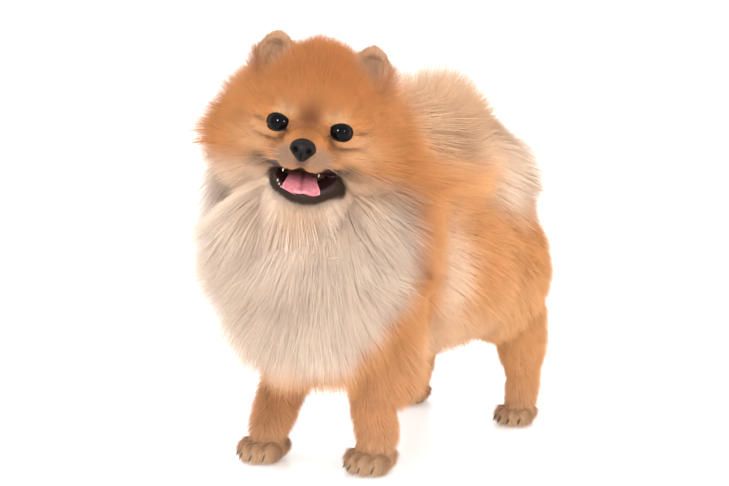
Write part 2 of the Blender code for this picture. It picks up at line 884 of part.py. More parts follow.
def in_mane(point):
    """Whether long coat grows at a point of the head: behind the face."""
    spot = HEAD.inverted() @ point
    beside = abs(spot.x) > 33 and spot.y > -34
    return beside or spot.y > -12 or spot.z > 30


def build_head(stance):
    """Skull with its coat, jaw, tongue, nose, eyes and ears."""
    head = fuse("head", SKULL, voxel=3.0, smooth=4, triangles=1500)
    combine(head, lids("left") + lids("right") + [upper_lip()], "UNION", "MANIFOLD")
    cheeks = (
        head_plane((MOUTH_WIDTH, 0, 0), (-1, 0, 0)),
        head_plane((-MOUTH_WIDTH, 0, 0), (1, 0, 0)),
    )
    kept = (HEAD_NECK, HEAD_THROAT, TORSO_NECK.over(), NOSE_FACE)
    spaces = ((MOUTH_ROOF, JAW_FACE, *cheeks), ear_space("left"), ear_space("right"))
    outline = (CHEEKS, CROWN, RUFF)
    grow(head, Coat(outline, Region(kept, spaces), away_from_nose, HEAD_LOCKS, in_mane))
    sockets = []
    for side, sign in SIDES.items():
        eye = head_mass((sign * EYE_PLACE[0], *EYE_PLACE[1:]), [EYE_RADIUS] * 3)
        sockets.append(ball("socket", eye.grown(GAP), 3))
        place_node(ball(f"eye_{side}", eye), stance, "#14100E", 0.1)
        build_ear(side, stance)
    combine(head, sockets, "DIFFERENCE", "MANIFOLD")
    combine(head, canines(), "UNION", "MANIFOLD")
    place_node(head, stance, "#C9854F")
    build_jaw(stance)
    build_nose(stance)


def build_nose(stance):
    """Nose leather with two nostrils."""
    nose = ball("nose", head_mass(NOSE_PLACE, NOSE_RADII), 3)
    cut(nose, [NOSE_FACE.over().shifted(HALF_GAP)])
    nostrils = []
    for sign in SIDES.values():
        place = (sign * NOSTRIL_PLACE[0], *NOSTRIL_PLACE[1:])
        nostrils.append(ball("nostril", head_mass(place, NOSTRIL_RADII), 1))
    combine(nose, nostrils, "DIFFERENCE")
    place_node(nose, stance, "#4A4042", 0.4)


def upper_lip():
    """The rod of the upper lip, from corner to corner under the muzzle."""
    x, y, z = MOUTH_CORNER
    return bent_tube("lip", mouth_line(x - 1, y - 3, MOUTH_FRONT, z + 1.5, 0.5), LIP_THICKNESS)


def build_jaw(stance):
    """Lower jaw with its lip, and the tongue that lies in it."""
    jaw = fuse("lower_jaw", JAW, voxel=2.0, triangles=420)
    kept = (JAW_FACE, MOUTH_ROOF, MOUTH_FLOOR, HEAD_THROAT)
    cut(jaw, [plane.shifted(HALF_GAP) for plane in kept])
    slope = math.tan(math.radians(GAPE)) * (MOUTH_CORNER[1] - CHIN_FRONT)
    rim = mouth_line(JAW_LIP_WIDTH, JAW_LIP_BACK, CHIN_FRONT + 2, JAW_LIP_HEIGHT, slope - 4)
    bed = Form(on_head(*TONGUE_PLACE), Vector(TONGUE_RADII), head_turn() @ TONGUE_SLOPE)
    tongue = ball("tongue", bed)
    cut(tongue, [JAW_FACE.shifted(HALF_GAP)])
    place_node(tongue, stance, "#D8838C", 0.3)
    combine(jaw, [bent_tube("lip", rim, LIP_THICKNESS)], "UNION", "MANIFOLD")
    spaces = [ball("tongue_bed", bed.grown(GAP))] + Region(kept).cutters()
    combine(jaw, spaces, "DIFFERENCE", "MANIFOLD")
    place_node(jaw, stance, "#3A2A28")


def build_ear(side, stance):
    """A small rounded ear, cupped towards the front."""
    sign = SIDES[side]
    x, y, z = EAR_PLACE
    ear = ball(f"ear_{side}", head_mass((sign * x, y, z), EAR_RADII))
    cut(ear, [head_plane((0, 0, EAR_BASE + GAP), (0, 0, 1))])
    x, y, z = EAR_CUP_PLACE
    hollow = ball("cup", head_mass((sign * x, y, z), EAR_CUP_RADII))
    combine(ear, [hollow], "DIFFERENCE")
    place_node(ear, stance, "#C99B6C")


def main():
    """Build every node under one empty that sets the frame."""
    clear_scene()
    stance = bpy.data.objects.new("stance", None)
    stance.location = (-BOX_MIDDLE[0] * MM, -BOX_MIDDLE[1] * MM, 0)
    bpy.context.scene.collection.objects.link(stance)
    build_trunk(stance)
    build_legs(stance)
    build_head(stance)
    bpy.context.view_layer.update()


main()
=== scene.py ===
"""Looks of a standing pomeranian: one skin, a coat of fine locks, face and light.

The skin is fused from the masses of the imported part, and the coat reaches the
same outline.  Sizes are millimetres in the animal's own frame: it faces -Y, its
left side is +X and the floor is z = 0.  Ground turns them to metres of the row.
"""

from __future__ import annotations

import json
import logging
import math
from copy import copy
from dataclasses import dataclass, field
from enum import Enum
from functools import partial
from typing import Callable, Optional, Sequence

import bmesh
import bpy
import numpy as np
from mathutils import Matrix, Vector
from mathutils.kdtree import KDTree

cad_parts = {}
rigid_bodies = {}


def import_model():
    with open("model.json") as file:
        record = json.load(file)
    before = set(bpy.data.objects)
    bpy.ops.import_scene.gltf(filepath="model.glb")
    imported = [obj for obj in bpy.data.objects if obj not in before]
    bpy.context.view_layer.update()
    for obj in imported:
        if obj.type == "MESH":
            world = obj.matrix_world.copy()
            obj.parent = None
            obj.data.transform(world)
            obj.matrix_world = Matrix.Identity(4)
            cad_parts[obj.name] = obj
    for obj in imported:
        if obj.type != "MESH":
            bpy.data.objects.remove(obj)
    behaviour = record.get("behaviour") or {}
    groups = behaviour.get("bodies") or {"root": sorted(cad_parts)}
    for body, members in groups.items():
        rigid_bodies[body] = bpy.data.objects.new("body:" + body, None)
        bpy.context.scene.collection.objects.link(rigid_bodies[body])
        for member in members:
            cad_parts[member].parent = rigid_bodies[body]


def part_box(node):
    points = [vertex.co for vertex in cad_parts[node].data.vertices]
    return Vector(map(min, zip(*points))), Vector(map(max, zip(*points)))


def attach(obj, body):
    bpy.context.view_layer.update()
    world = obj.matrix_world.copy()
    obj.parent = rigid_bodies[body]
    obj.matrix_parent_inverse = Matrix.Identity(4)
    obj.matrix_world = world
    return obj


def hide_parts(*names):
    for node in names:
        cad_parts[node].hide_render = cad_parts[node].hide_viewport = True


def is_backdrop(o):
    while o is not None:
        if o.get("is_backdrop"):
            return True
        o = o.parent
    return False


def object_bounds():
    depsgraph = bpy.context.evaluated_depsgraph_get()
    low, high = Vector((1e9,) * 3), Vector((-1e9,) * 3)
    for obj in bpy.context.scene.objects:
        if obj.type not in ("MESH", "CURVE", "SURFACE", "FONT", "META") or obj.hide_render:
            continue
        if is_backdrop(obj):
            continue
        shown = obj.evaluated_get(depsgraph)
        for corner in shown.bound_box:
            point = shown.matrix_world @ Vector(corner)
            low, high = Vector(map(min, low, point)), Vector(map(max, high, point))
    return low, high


log = logging.getLogger("pomeranian")

Array = np.ndarray
Point = tuple[float, float, float]
Ball = tuple[float, float, float, float]  # x, y, z and radius
BMesh = bmesh.types.BMesh
Mesh = bpy.types.Mesh
Thing = bpy.types.Object
Socket = bpy.types.NodeSocket
Values = dict[str | int, object]
Links = dict[str | int, Socket]

MM = 0.001
FAR = 1e9
SEED = 7
SIDES = {"left": 1, "right": -1}

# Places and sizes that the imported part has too.
HEAD_PLACE = (7.0, -113.0, 263.0)
HEAD_TURNS = ((36.0, "Z"), (-3.0, "X"), (9.2, "Y"))  # yaw, nod and tilt in degrees
EYE_PLACE = (21.8, -31.0, 3.0)
EYE_RADIUS = 9.5
EYE_SPLAY = 18.0
NOSE_PLACE = (0.0, -66.0, -11.0)
NOSE_RADII = (9.4, 8.0, 8.8)
MOUTH_CORNER = (30.0, -26.0, -25.0)
GAPE = math.radians(32.0)
FOREPAW = {"left": (43.5, -86.0), "right": (-41.5, -114.0)}
HINDPAW = {"left": (56.0, 95.0), "right": (-56.0, 95.0)}
PAWS = (("forepaw", FOREPAW, (36.0, 42.0, 24.0)), ("hindpaw", HINDPAW, (32.0, 38.0, 21.0)))
TOES = ((-0.36, 0.30), (-0.13, 0.44), (0.13, 0.44), (0.36, 0.30))  # shares of width and length

PIECE_LIMIT = 185000  # triangles in one piece of the coat
PATCH = 0.003  # side of a strand's patch on the baked map
HAIR_MARGIN = 0.03, 0.0075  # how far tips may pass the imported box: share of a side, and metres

# The cream is painted lighter at the root than at the tip: painted fill light against the shade
# deep in the coat.
CREAM_ROOT, CREAM_TIP = "#EEDAC6", "#E4D0BE"
DARK_LIP, MOUTH_LINING = "#38261A", "#2B1214"


# ---- numbers and colours


def unit(vectors: Array) -> Array:
    """Vectors of length one."""
    return vectors / np.maximum(np.linalg.norm(vectors, axis=-1, keepdims=True), 1e-9)


def across(vectors: Array, axes: Array) -> Array:
    """Directions of vectors once their part along unit axes is taken off."""
    return unit(vectors - axes * (vectors * axes).sum(axis=1, keepdims=True))


def ease(value: Array, low: float, high: float) -> Array:
    """A smooth step from 0 at low to 1 at high."""
    share = np.clip((value - low) / (high - low), 0.0, 1.0)
    return share * share * (3.0 - 2.0 * share)


def blend(first: Array | float, second: Array, share: Array | float) -> Array:
    """Mix two arrays.

    Args:
        first: What a share of 0 gives.
        second: What a share of 1 gives.
        share: One number, or one for each row.

    Returns:
        The mixture.
    """
    share = np.asarray(share, float)
    if share.ndim == 1 and np.ndim(first) == 2:
        share = share[:, None]
    return first * (1.0 - share) + second * share


def linear(colour: str) -> Array:
    """Linear RGB of an sRGB hex colour such as "#C9854F"."""
    channels = np.array([int(colour[i : i + 2], 16) / 255 for i in (1, 3, 5)])
    return np.where(channels <= 0.04045, channels / 12.92, ((channels + 0.055) / 1.055) ** 2.4)


def rgba(colour: str) -> tuple[float, ...]:
    """Linear RGBA of an sRGB hex colour."""
    return (*(float(channel) for channel in linear(colour)), 1.0)


@dataclass(frozen=True)
class HeadFrame:
    """The head's own frame: x to its left, y to its back, z up."""

    place: Point = HEAD_PLACE

    def axes(self) -> Array:
        """Columns are the head's axes in the animal's frame.

        Returns:
            A matrix of three by three.
        """
        matrix = Matrix.Identity(3)
        for angle, axis in HEAD_TURNS:
            matrix = matrix @ Matrix.Rotation(math.radians(angle), 3, axis)
        return np.array(matrix)

    def out(self, points: Array) -> Array:
        """Points of the head's frame, in the animal's."""
        return np.asarray(points, float) @ self.axes().T + np.array(self.place)

    def into(self, points: Array) -> Array:
        """Points of the animal's frame, in the head's."""
        return (np.asarray(points, float) - np.array(self.place)) @ self.axes()


HEAD = HeadFrame()


@dataclass(frozen=True)
class Ground:
    """Where the animal's own frame lies in the row frame."""

    shift: Point

    @classmethod
    def measured(cls) -> "Ground":
        """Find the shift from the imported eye, whose middle is known in both frames."""
        low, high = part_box("eye_left")
        return cls(tuple(np.array((low + high) / 2) / MM - HEAD.out(np.array(EYE_PLACE))))

    def row(self, points: Array) -> Array:
        """Points of the animal's frame in metres of the row frame."""
        return (np.asarray(points, float) + np.array(self.shift)) * MM


@dataclass(frozen=True)
class EyeFrame:
    """An eye's own frame and the shape of its opening.

    Args:
        middle: The ball's middle.
        gaze: The way it looks.
        across: The way to the animal's left on the ball.
        up: The way up on the ball.
        wide: Half-width of the opening as an angle in degrees.
        high: Half-height of the opening as an angle in degrees.
    """

    middle: Array
    gaze: Array
    across: Array
    up: Array
    wide: float = 64.0
    high: float = 37.0

    @classmethod
    def of(cls, sign: int) -> "EyeFrame":
        """The left eye for 1 and the right eye for -1.

        Args:
            sign: Which of the two eyes.

        Returns:
            The eye's frame.
        """
        splay = math.radians(sign * EYE_SPLAY)
        gaze = unit(np.array((math.sin(splay), -math.cos(splay), 0.04)))
        level = np.array((math.cos(splay), math.sin(splay), 0.0))
        up = unit(np.cross(level, gaze))
        turn = HEAD.axes()
        middle = HEAD.out(np.array((sign * EYE_PLACE[0], *EYE_PLACE[1:])))
        return cls(middle, turn @ gaze, turn @ level, turn @ up * np.sign(up[2]))

    def past(self, points: Array) -> tuple[Array, Array, Array]:
        """See points from the ball's middle.

        Args:
            points: Points of the animal's frame.

        Returns:
            Degrees from the gaze past the lids' edge, distance, and direction.
        """
        offset = points - self.middle
        radius = np.maximum(np.linalg.norm(offset, axis=1), 1e-6)
        direction = offset / radius[:, None]
        around = np.arctan2(direction @ self.up, direction @ self.across)
        polar = np.arccos(np.clip(direction @ self.gaze, -1, 1))
        return np.degrees(polar) - self.edge(around), radius, direction

    def edge(self, around: Array) -> Array:
        """Where the lids' edge lies, in degrees off the gaze."""
        return 1 / np.sqrt((np.cos(around) / self.wide) ** 2 + (np.sin(around) / self.high) ** 2)

    def place(self, polar: Array, around: Array, radius: Array | float) -> Array:
        """Find points by angle and distance.

        Args:
            polar: Angle off the gaze in radians.
            around: Angle round the gaze in radians.
            radius: Distance from the ball's middle.

        Returns:
            Points of the animal's frame.
        """
        turn = (
            np.cos(polar)[..., None] * self.gaze
            + (np.sin(polar) * np.cos(around))[..., None] * self.across
            + (np.sin(polar) * np.sin(around))[..., None] * self.up
        )
        return self.middle + turn * np.asarray(radius)[..., None]


EYES = {side: EyeFrame.of(sign) for side, sign in SIDES.items()}


# ---- forms


def placed(point: Sequence[float], on_head: bool) -> Array:
    """A point of the animal's frame from one of the head's frame or of its own."""
    return HEAD.out(np.array(point)) if on_head else np.array(point)


@dataclass(frozen=True)
class Mass:
    """An ellipsoid of flesh or of the coat's outline."""

    centre: Point
    radii: Point
    on_head: bool = False

    def axes(self) -> Array:
        """Columns are the ellipsoid's axes in the animal's frame."""
        return HEAD.axes() if self.on_head else np.identity(3)

    def middle(self) -> Array:
        """Its centre in the animal's frame."""
        return placed(self.centre, self.on_head)

    def grown(self, depth: float) -> "Mass":
        """The same mass with every half-axis longer by depth."""
        return Mass(self.centre, tuple(radius + depth for radius in self.radii), self.on_head)

    def local(self, points: Array) -> Array:
        """Points in the ellipsoid's frame, scaled so that its surface has radius one."""
        return (points - self.middle()) @ self.axes() / np.array(self.radii)

    def distance(self, points: Array) -> Array:
        """About how far points lie outside the surface, negative inside."""
        scaled = np.maximum(np.linalg.norm(self.local(points), axis=1), 1e-6)
        return np.linalg.norm(points - self.middle(), axis=1) * (1.0 - 1.0 / scaled)

    def facing(self, points: Array) -> Array:
        """Which way the surface faces at the points' places."""
        return unit(self.local(points) / np.array(self.radii) @ self.axes().T)

    def span(self, start: Array, direction: Array) -> tuple[Array, Array]:
        """Follow rays through the ellipsoid.

        Args:
            start: Where the rays start.
            direction: Their unit directions.

        Returns:
            Distances at which they enter and leave, both far off where they miss.
        """
        offset = self.local(start)
        step = direction @ self.axes() / np.array(self.radii)
        square = (step * step).sum(1)
        middle = -(offset * step).sum(1) / square
        room = middle * middle - ((offset * offset).sum(1) - 1) / square
        half = np.sqrt(np.maximum(room, 0))
        return np.where(room > 0, middle - half, FAR), np.where(room > 0, middle + half, -FAR)

    def add_to(self, bm: BMesh, subdivisions: int = 4) -> None:
        """Add the ellipsoid to a bmesh, in millimetres.

        Args:
            bm: The bmesh.
            subdivisions: How finely the surface is divided.
        """
        turn, middle = self.axes(), self.middle()
        made = bmesh.ops.create_icosphere(bm, subdivisions=subdivisions, radius=1.0)
        for vert in made["verts"]:
            vert.co = Vector(turn @ (np.array(self.radii) * np.array(vert.co)) + middle)


@dataclass(frozen=True)
class Limb:
    """A row of balls joined by cones."""

    balls: tuple[Ball, ...]
    on_head: bool = False

    def grown(self, depth: float) -> "Limb":
        """The same limb, thicker by depth."""
        return Limb(tuple((*ball[:3], ball[3] + depth) for ball in self.balls), self.on_head)

    def spans(self) -> list[tuple[Array, float, Array, float]]:
        """Each pair of neighbouring balls, in the animal's frame."""
        balls = [(placed(ball[:3], self.on_head), ball[3]) for ball in self.balls]
        return [(*first, *last) for first, last in zip(balls, balls[1:])]

    def distance(self, points: Array) -> Array:
        """How far points lie outside the surface, negative inside.

        Args:
            points: Points of the animal's frame, one per row.

        Returns:
            One distance per point, in millimetres.
        """
        nearest = np.full(len(points), FAR)
        for start, first, end, last in self.spans():
            axis = end - start
            share = np.clip((points - start) @ axis / (axis @ axis), 0, 1)
            gap = np.linalg.norm(points - start - share[:, None] * axis, axis=1)
            nearest = np.minimum(nearest, gap - (first + (last - first) * share))
        return nearest

    def add_to(self, bm: BMesh) -> None:
        """Add the limb to a bmesh, in millimetres.

        Args:
            bm: The bmesh.
        """
        for *point, radius in self.balls:
            Mass(tuple(point), (radius,) * 3, self.on_head).add_to(bm, 3)
        for start, first, end, last in self.spans():
            axis = Vector(end - start)
            turn = axis.to_track_quat("Z", "Y").to_matrix().to_4x4()
            place = Matrix.Translation((start + end) / 2) @ turn
            bmesh.ops.create_cone(bm, cap_ends=True, segments=32, radius1=first, radius2=last,
                                  depth=axis.length, matrix=place)


@dataclass(frozen=True)
class Cut:
    """A plane on the head, by a point and the normal towards the side that is kept."""

    point: Point
    normal: Point

    def plane(self) -> tuple[Array, Array]:
        """The point and unit normal in the animal's frame."""
        return HEAD.out(np.array(self.point)), unit(HEAD.axes() @ np.array(self.normal))

    def height(self, points: Array) -> Array:
        """How far points lie on the kept side."""
        point, normal = self.plane()
        return (points - point) @ normal

    def over(self) -> "Cut":
        """The same plane, keeping the other side."""
        return Cut(self.point, tuple(-part for part in self.normal))


def both(centre: Point, radii: Point, on_head: bool = False) -> tuple[Mass, ...]:
    """A mass on the left and its mirror image on the right."""
    return tuple(Mass((sign * centre[0], *centre[1:]), radii, on_head) for sign in SIDES.values())


# Outline of the coat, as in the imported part.
RUFF = Mass((-3, -100, 188), (104, 92, 112))
CHEST = Mass((0, -98, 128), (84, 84, 68))
NAPE = Mass((8, -48, 230), (78, 66, 74))
BACK = Mass((0, 22, 150), (86, 110, 86))
RUMP = Mass((4, 84, 156), (72, 60, 76))
THIGHS = both((43, 88, 128), (42, 52, 64))
CHEEKS = Mass((0, 16, -16), (93, 58, 62), True)
CROWN = Mass((0, 12, 8), (82, 52, 58), True)
PLUME = Mass((4, 30, 235), (64, 70, 62))
PLUME_FALL = Mass((38, 72, 206), (50, 62, 46))
PLUME_ROOT = Mass((4, 92, 222), (48, 46, 42))
ELBOWS = both((50, -66, 90), (33, 42, 46))
HOCKS = both((52, 106, 78), (27, 30, 44))

# Outline that the photo adds to it: loose hair over crown, nape and tail.
TOPKNOT = Mass((0, 4, 14), (60, 44, 59), True)
CREST = Mass((18, -14, 236), (72, 70, 72))
PLUME_TOP = Mass((10, 20, 244), (60, 66, 66))
FLUFF = (RUFF, CHEST, NAPE, CREST, BACK, RUMP, *THIGHS)
FLUFF += (CHEEKS, CROWN, TOPKNOT, PLUME, PLUME_TOP, PLUME_FALL, PLUME_ROOT)


def outward(points: Array) -> Array:
    """Which way the coat's outline faces near points.

    Args:
        points: Points of the animal's frame, one per row.

    Returns:
        One direction per point.
    """
    gaps = np.stack([mass.distance(points) for mass in FLUFF], axis=1)
    weights = np.exp(-(gaps - gaps.min(axis=1, keepdims=True)) / 12.0)
    facing = np.stack([mass.facing(points) for mass in FLUFF], axis=1)
    return unit((facing * weights[:, :, None]).sum(axis=1))


# Flesh, grown by the share of the coat's depth that the skin keeps as undercoat.
UNDERCOAT = 0.42
NECK_FLESH = (
    Limb(((4, -88, 238, 35), (0, -68, 184, 56))),
    Mass((0, -84, 142), (54, 52, 46)),
)
TRUNK_FLESH = (
    Mass((0, -44, 150), (46, 70, 50)).grown(UNDERCOAT * 38),
    Mass((0, 40, 162), (40, 60, 42)).grown(UNDERCOAT * 42),
    Mass((0, 82, 162), (38, 38, 38)).grown(UNDERCOAT * 34),
)
HAUNCH_FLESH = tuple(
    mass.grown(UNDERCOAT * 26) for mass in both((34, 86, 134), (28, 34, 46))
)
TAIL_CURVE = ((0, 106, 186, 12), (0, 113, 218, 10), (2, 98, 234, 8),
              (6, 60, 238, 8), (10, 22, 237, 7), (14, -2, 235, 5))
TAIL_FLESH = (Limb(TAIL_CURVE).grown(UNDERCOAT * 26),)
SKULL_FLESH = (
    Mass((0, 6, 4), (44, 38, 42), True),
    Mass((0, 20, -6), (52, 36, 44), True),
    Mass((0, -18, 6), (33, 26, 26), True),
    Mass((0, -4, -18), (44, 30, 30), True),
    Mass((0, -34, -9), (17, 26, 13.5), True),
    Mass((0, -54, -12), (11.5, 13, 10), True),
    Mass((0, -4, -36), (32, 26, 24), True),
)
UPPER_LIPS = tuple(
    Limb(((sign * 7.5, -54, -18.5, 8.6), (sign * 12.5, -47, -19.5, 9.2),
          (sign * 19.5, -37, -19.5, 8.6), (sign * 27, -27, -19, 8.0)), True)
    for sign in SIDES.values()
)
JAW_FLESH = (
    Mass((3, -30, -38), (25, 24, 16), True),
    Mass((4, -41, -44), (16, 14, 10), True),
)
EAR_FLESH = both((36, 6, 46), (14.5, 7.5, 21), True)
EAR_CUPS = both((37, -1.5, 48.5), (10.5, 7, 15.5), True)
THROAT_HOLLOW = Mass((1, -26, -31), (17, 18, 8), True)

HEAD_NECK = Cut((0, 22, 0), (0, -1, 0))
HEAD_THROAT = Cut((0, -30, -58), (0, -0.17, 0.985))
MOUTH_ROOF = Cut(MOUTH_CORNER, (0, -0.05, -1))
MOUTH_FLOOR = Cut(MOUTH_CORNER, (0, math.sin(GAPE), -math.cos(GAPE)))
MOUTH_SIDES = (Cut((33, 0, 0), (-1, 0, 0)), Cut((-33, 0, 0), (1, 0, 0)))


def foreleg(sign: int, x: float, y: float) -> Limb:
    """A foreleg under its coat, from inside the chest to the paw at x, y."""
    return Limb(((sign * 38, -78, 110, 20), (sign * 41, -80, 80, 17),
                 (sign * 41, (y - 80) / 2, 52, 12.5), (x, y + 5, 28, 12), (x, y + 1, 14, 12)))


def hindleg(sign: int, x: float, y: float) -> Limb:
    """A hind leg under its coat, from inside the haunch to the paw at x, y."""
    return Limb(((sign * 47, 98, 104, 20), (sign * 52, 102, 70, 14.5),
                 (sign * 55, 104, 42, 11), (x, y + 5, 22, 10.5), (x, y + 2, 12, 10.5)))


def paw(x: float, y: float, size: Point) -> tuple[Mass, ...]:
    """Pad and four toes of a paw under its coat.

    Args:
        x: Where the paw stands, to the left.
        y: Where it stands, to the back.
        size: Its width, length and height.

    Returns:
        The pad and the toes.
    """
    width, length, height = size
    pad = Mass((x, y + 3, height * 0.45), (width * 0.42, length * 0.39, height * 0.47))
    toes = []
    for place, forward in TOES:
        middle = (x + place * width * 0.97, y - forward * length + 5, height * 0.37)
        toes.append(Mass(middle, (width * 0.145, length * 0.22, height * 0.37)))
    return (pad, *toes)


FORELEG_FLESH = tuple(foreleg(SIDES[side], *place) for side, place in FOREPAW.items())
HINDLEG_FLESH = tuple(hindleg(SIDES[side], *place) for side, place in HINDPAW.items())
PAW_FLESH = tuple(
    mass for _, places, size in PAWS for place in places.values() for mass in paw(*place, size)
)


def below_bite(points: Array) -> Array:
    """How far points lie under the lower jaw's bite, in millimetres."""
    return MOUTH_FLOOR.height(points)


def mouth_depth(points: Array) -> Array:
    """How far points are inside the open mouth, 0 to 1.

    Args:
        points: Points of the animal's frame, one per row.

    Returns:
        One share per point.
    """
    x, y, _ = HEAD.into(points).T
    within = ease(MOUTH_ROOF.height(points), -2.2, -0.6) * ease(-below_bite(points), -2.2, -0.6)
    width = 1 - ease(np.abs(x), 24, 30)
    return within * width * ease(-y, 2, 10) * (1 - ease(-y, 52, 58))


def muzzle_dark(points: Array) -> Array:
    """How far points are in the dark lower jaw and lips, 0 to 1.

    Args:
        points: Points of the animal's frame, one per row.

    Returns:
        One share per point.
    """
    depth = below_bite(points)
    band = ease(depth, -3.0, -1.0) * (1 - ease(depth, 6.0, 12.5))
    front = ease(-HEAD.into(points)[:, 1], 20, 30)
    near = 1 - ease(np.min([mass.distance(points) for mass in JAW_FLESH], axis=0), 2, 5)
    return band * front * near * ease(MOUTH_ROOF.height(points), -1.0, 0.5)


def chest_front(points: Array) -> Array:
    """How far points are in the cream front of ruff and chest, 0 to 1.

    Args:
        points: Points of the animal's frame, one per row.

    Returns:
        One share per point.
    """
    _, y, z = points.T
    rim = -92 + 0.42 * np.minimum(z - 161, 0) + 0.14 * np.maximum(z - 161, 0)
    front = 1 - ease(y, rim - 12, rim + 10)
    return front * (1 - ease(HEAD.into(points)[:, 2], -46, -22)) * ease(z, 60, 84)


# ---- meshes


class Layer(Enum):
    """What an attribute holds for each point of a mesh."""

    NUMBER = ("FLOAT", "value")
    VECTOR = ("FLOAT_VECTOR", "vector")
    COLOUR = ("FLOAT_COLOR", "color")


def store(mesh: Mesh, name: str, layer: Layer, values: Array) -> None:
    """Keep an attribute for each point of a mesh.

    Args:
        mesh: The mesh.
        name: Name of the attribute.
        layer: What it holds.
        values: One number, vector or linear RGB colour per point.
    """
    kind, part = layer.value
    layers = mesh.attributes
    if layer is Layer.COLOUR:
        layers = mesh.color_attributes
        values = np.append(values, np.ones((len(values), 1)), axis=1)
    data = layers.new(name, kind, "POINT").data
    data.foreach_set(part, np.asarray(values, np.float32).ravel())


def taken(items: Sequence, name: str, width: int, kind: type = float) -> Array:
    """A property of the items of a mesh, as one row per item.

    Args:
        items: Vertices, loops or triangles.
        name: Name of the property.
        width: How many numbers each item has.
        kind: Their type.

    Returns:
        One row per item.
    """
    values = np.empty(len(items) * width, kind)
    items.foreach_get(name, values)
    return values.reshape(-1, width)


def shown(name: str, data: bpy.types.ID) -> Thing:
    """A new object of the scene with a mesh, a lamp or a camera.

    Args:
        name: Name of the object.
        data: What it shows.

    Returns:
        The object.
    """
    item = bpy.data.objects.new(name, data)
    bpy.context.scene.collection.objects.link(item)
    return item


def mesh_object(name: str, bm: BMesh) -> Thing:
    """Turn a bmesh into an object of the scene and free it.

    Args:
        name: Name of the object and its mesh.
        bm: The bmesh.

    Returns:
        The object.
    """
    bmesh.ops.recalc_face_normals(bm, faces=bm.faces)
    mesh = bpy.data.meshes.new(name)
    bm.to_mesh(mesh)
    bm.free()
    return shown(name, mesh)


def array_object(name: str, verts: Array, faces: Array) -> Thing:
    """Make an object from arrays of points and of triangles or quads.

    Args:
        name: Name of the object and its mesh.
        verts: Points in metres, one per row.
        faces: Corner indices, one face per row.

    Returns:
        The new object, smooth shaded.
    """
    mesh = bpy.data.meshes.new(name)
    mesh.vertices.add(len(verts))
    mesh.vertices.foreach_set("co", verts.astype(np.float32).ravel())
    mesh.loops.add(faces.size)
    mesh.loops.foreach_set("vertex_index", faces.astype(np.int32).ravel())
    mesh.polygons.add(len(faces))
    starts = np.arange(0, faces.size, faces.shape[1], dtype=np.int32)
    mesh.polygons.foreach_set("loop_start", starts)
    mesh.polygons.foreach_set("use_smooth", np.ones(len(faces), bool))
    mesh.update(calc_edges=True)
    return shown(name, mesh)


def ring_faces(rings: int, segments: int) -> Array:
    """Quads between rings of equally many points.

    Args:
        rings: How many rings there are.
        segments: Points of a ring.

    Returns:
        Corner indices, one face per row.
    """
    ring, step = np.divmod(np.arange((rings - 1) * segments), segments)
    low, after = ring * segments, (step + 1) % segments
    high = low + segments
    return np.stack([low + step, low + after, high + after, high + step], axis=1)


def dress(item: Thing, finish: bpy.types.Material, slot: str) -> None:
    """Give a piece its material and its body, and report it.

    Args:
        item: The piece.
        finish: Its material.
        slot: Not used.
    """
    item.data.materials.clear()
    item.data.materials.append(finish)
    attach(item, "root")
    log.info("%s: %d faces", item.name, len(item.data.polygons))


def modify(item: Thing, **steps: dict[str, object]) -> None:
    """Change an object's mesh by modifiers, in order.

    Args:
        item: The object.
        steps: Blender's name of each modifier, with its settings.
    """
    for kind, settings in steps.items():
        step = item.modifiers.new(kind, kind)
        for name, value in settings.items():
            setattr(step, name, value)
    graph = bpy.context.evaluated_depsgraph_get()
    mesh = bpy.data.meshes.new_from_object(item.evaluated_get(graph))
    item.modifiers.clear()
    item.data = mesh


def remove(items: Sequence[Thing]) -> None:
    """Remove objects from the file."""
    for item in items:
        bpy.data.objects.remove(item, do_unlink=True)


def fuse(item: Thing, voxel: float, smooth: int) -> None:
    """Remesh overlapping closed surfaces into one skin and soften it.

    Args:
        item: The object whose mesh is replaced, in millimetres.
        voxel: Size of a face of the new skin.
        smooth: Rounds of smoothing.
    """
    modify(item, REMESH={"mode": "VOXEL", "voxel_size": voxel},
           SMOOTH={"factor": 0.5, "iterations": smooth})


def carve(item: Thing, others: Sequence[Thing]) -> None:
    """Cut other objects out of an object, and remove them.

    Args:
        item: The object that is cut.
        others: What is cut out of it.
    """
    group = bpy.data.collections.new("pieces")
    for other in others:
        group.objects.link(other)
    modify(item, BOOLEAN={"operation": "DIFFERENCE", "operand_type": "COLLECTION",
                          "collection": group, "solver": "MANIFOLD"})
    remove(others)
    bpy.data.collections.remove(group)


def fleshed(name: str, forms: Sequence[Mass | Limb]) -> Thing:
    """Overlapping masses in one object, in millimetres.

    Args:
        name: Name of the object.
        forms: The masses.

    Returns:
        The object.
    """
    bm = bmesh.new()
    for form in forms:
        form.add_to(bm)
    return mesh_object(name, bm)


def joined(items: Sequence[Thing]) -> Thing:
    """Put the meshes of objects into the first one.

    Args:
        items: The objects; all but the first are removed.

    Returns:
        The first one.
    """
    bm = bmesh.new()
    for item in items:
        bm.from_mesh(item.data)
    remove(items[1:])
    bm.to_mesh(items[0].data)
    bm.free()
    return items[0]


def block(*cuts: Cut) -> Thing:
    """A block larger than the animal, kept on one side of each cut.

    Args:
        cuts: Planes, each with the side that is kept.

    Returns:
        The block.
    """
    bm = bmesh.new()
    bmesh.ops.create_cube(bm, size=800.0)
    for cut in cuts:
        point, normal = (Vector(part) for part in cut.plane())
        everything = bm.verts[:] + bm.edges[:] + bm.faces[:]
        bmesh.ops.bisect_plane(bm, geom=everything, dist=1e-5, plane_co=point,
                               plane_no=normal, clear_inner=True)
        bmesh.ops.edgeloop_fill(bm, edges=[edge for edge in bm.edges if edge.is_boundary])
    bmesh.ops.triangulate(bm, faces=bm.faces)
    return mesh_object("block", bm)


# ---- finishes


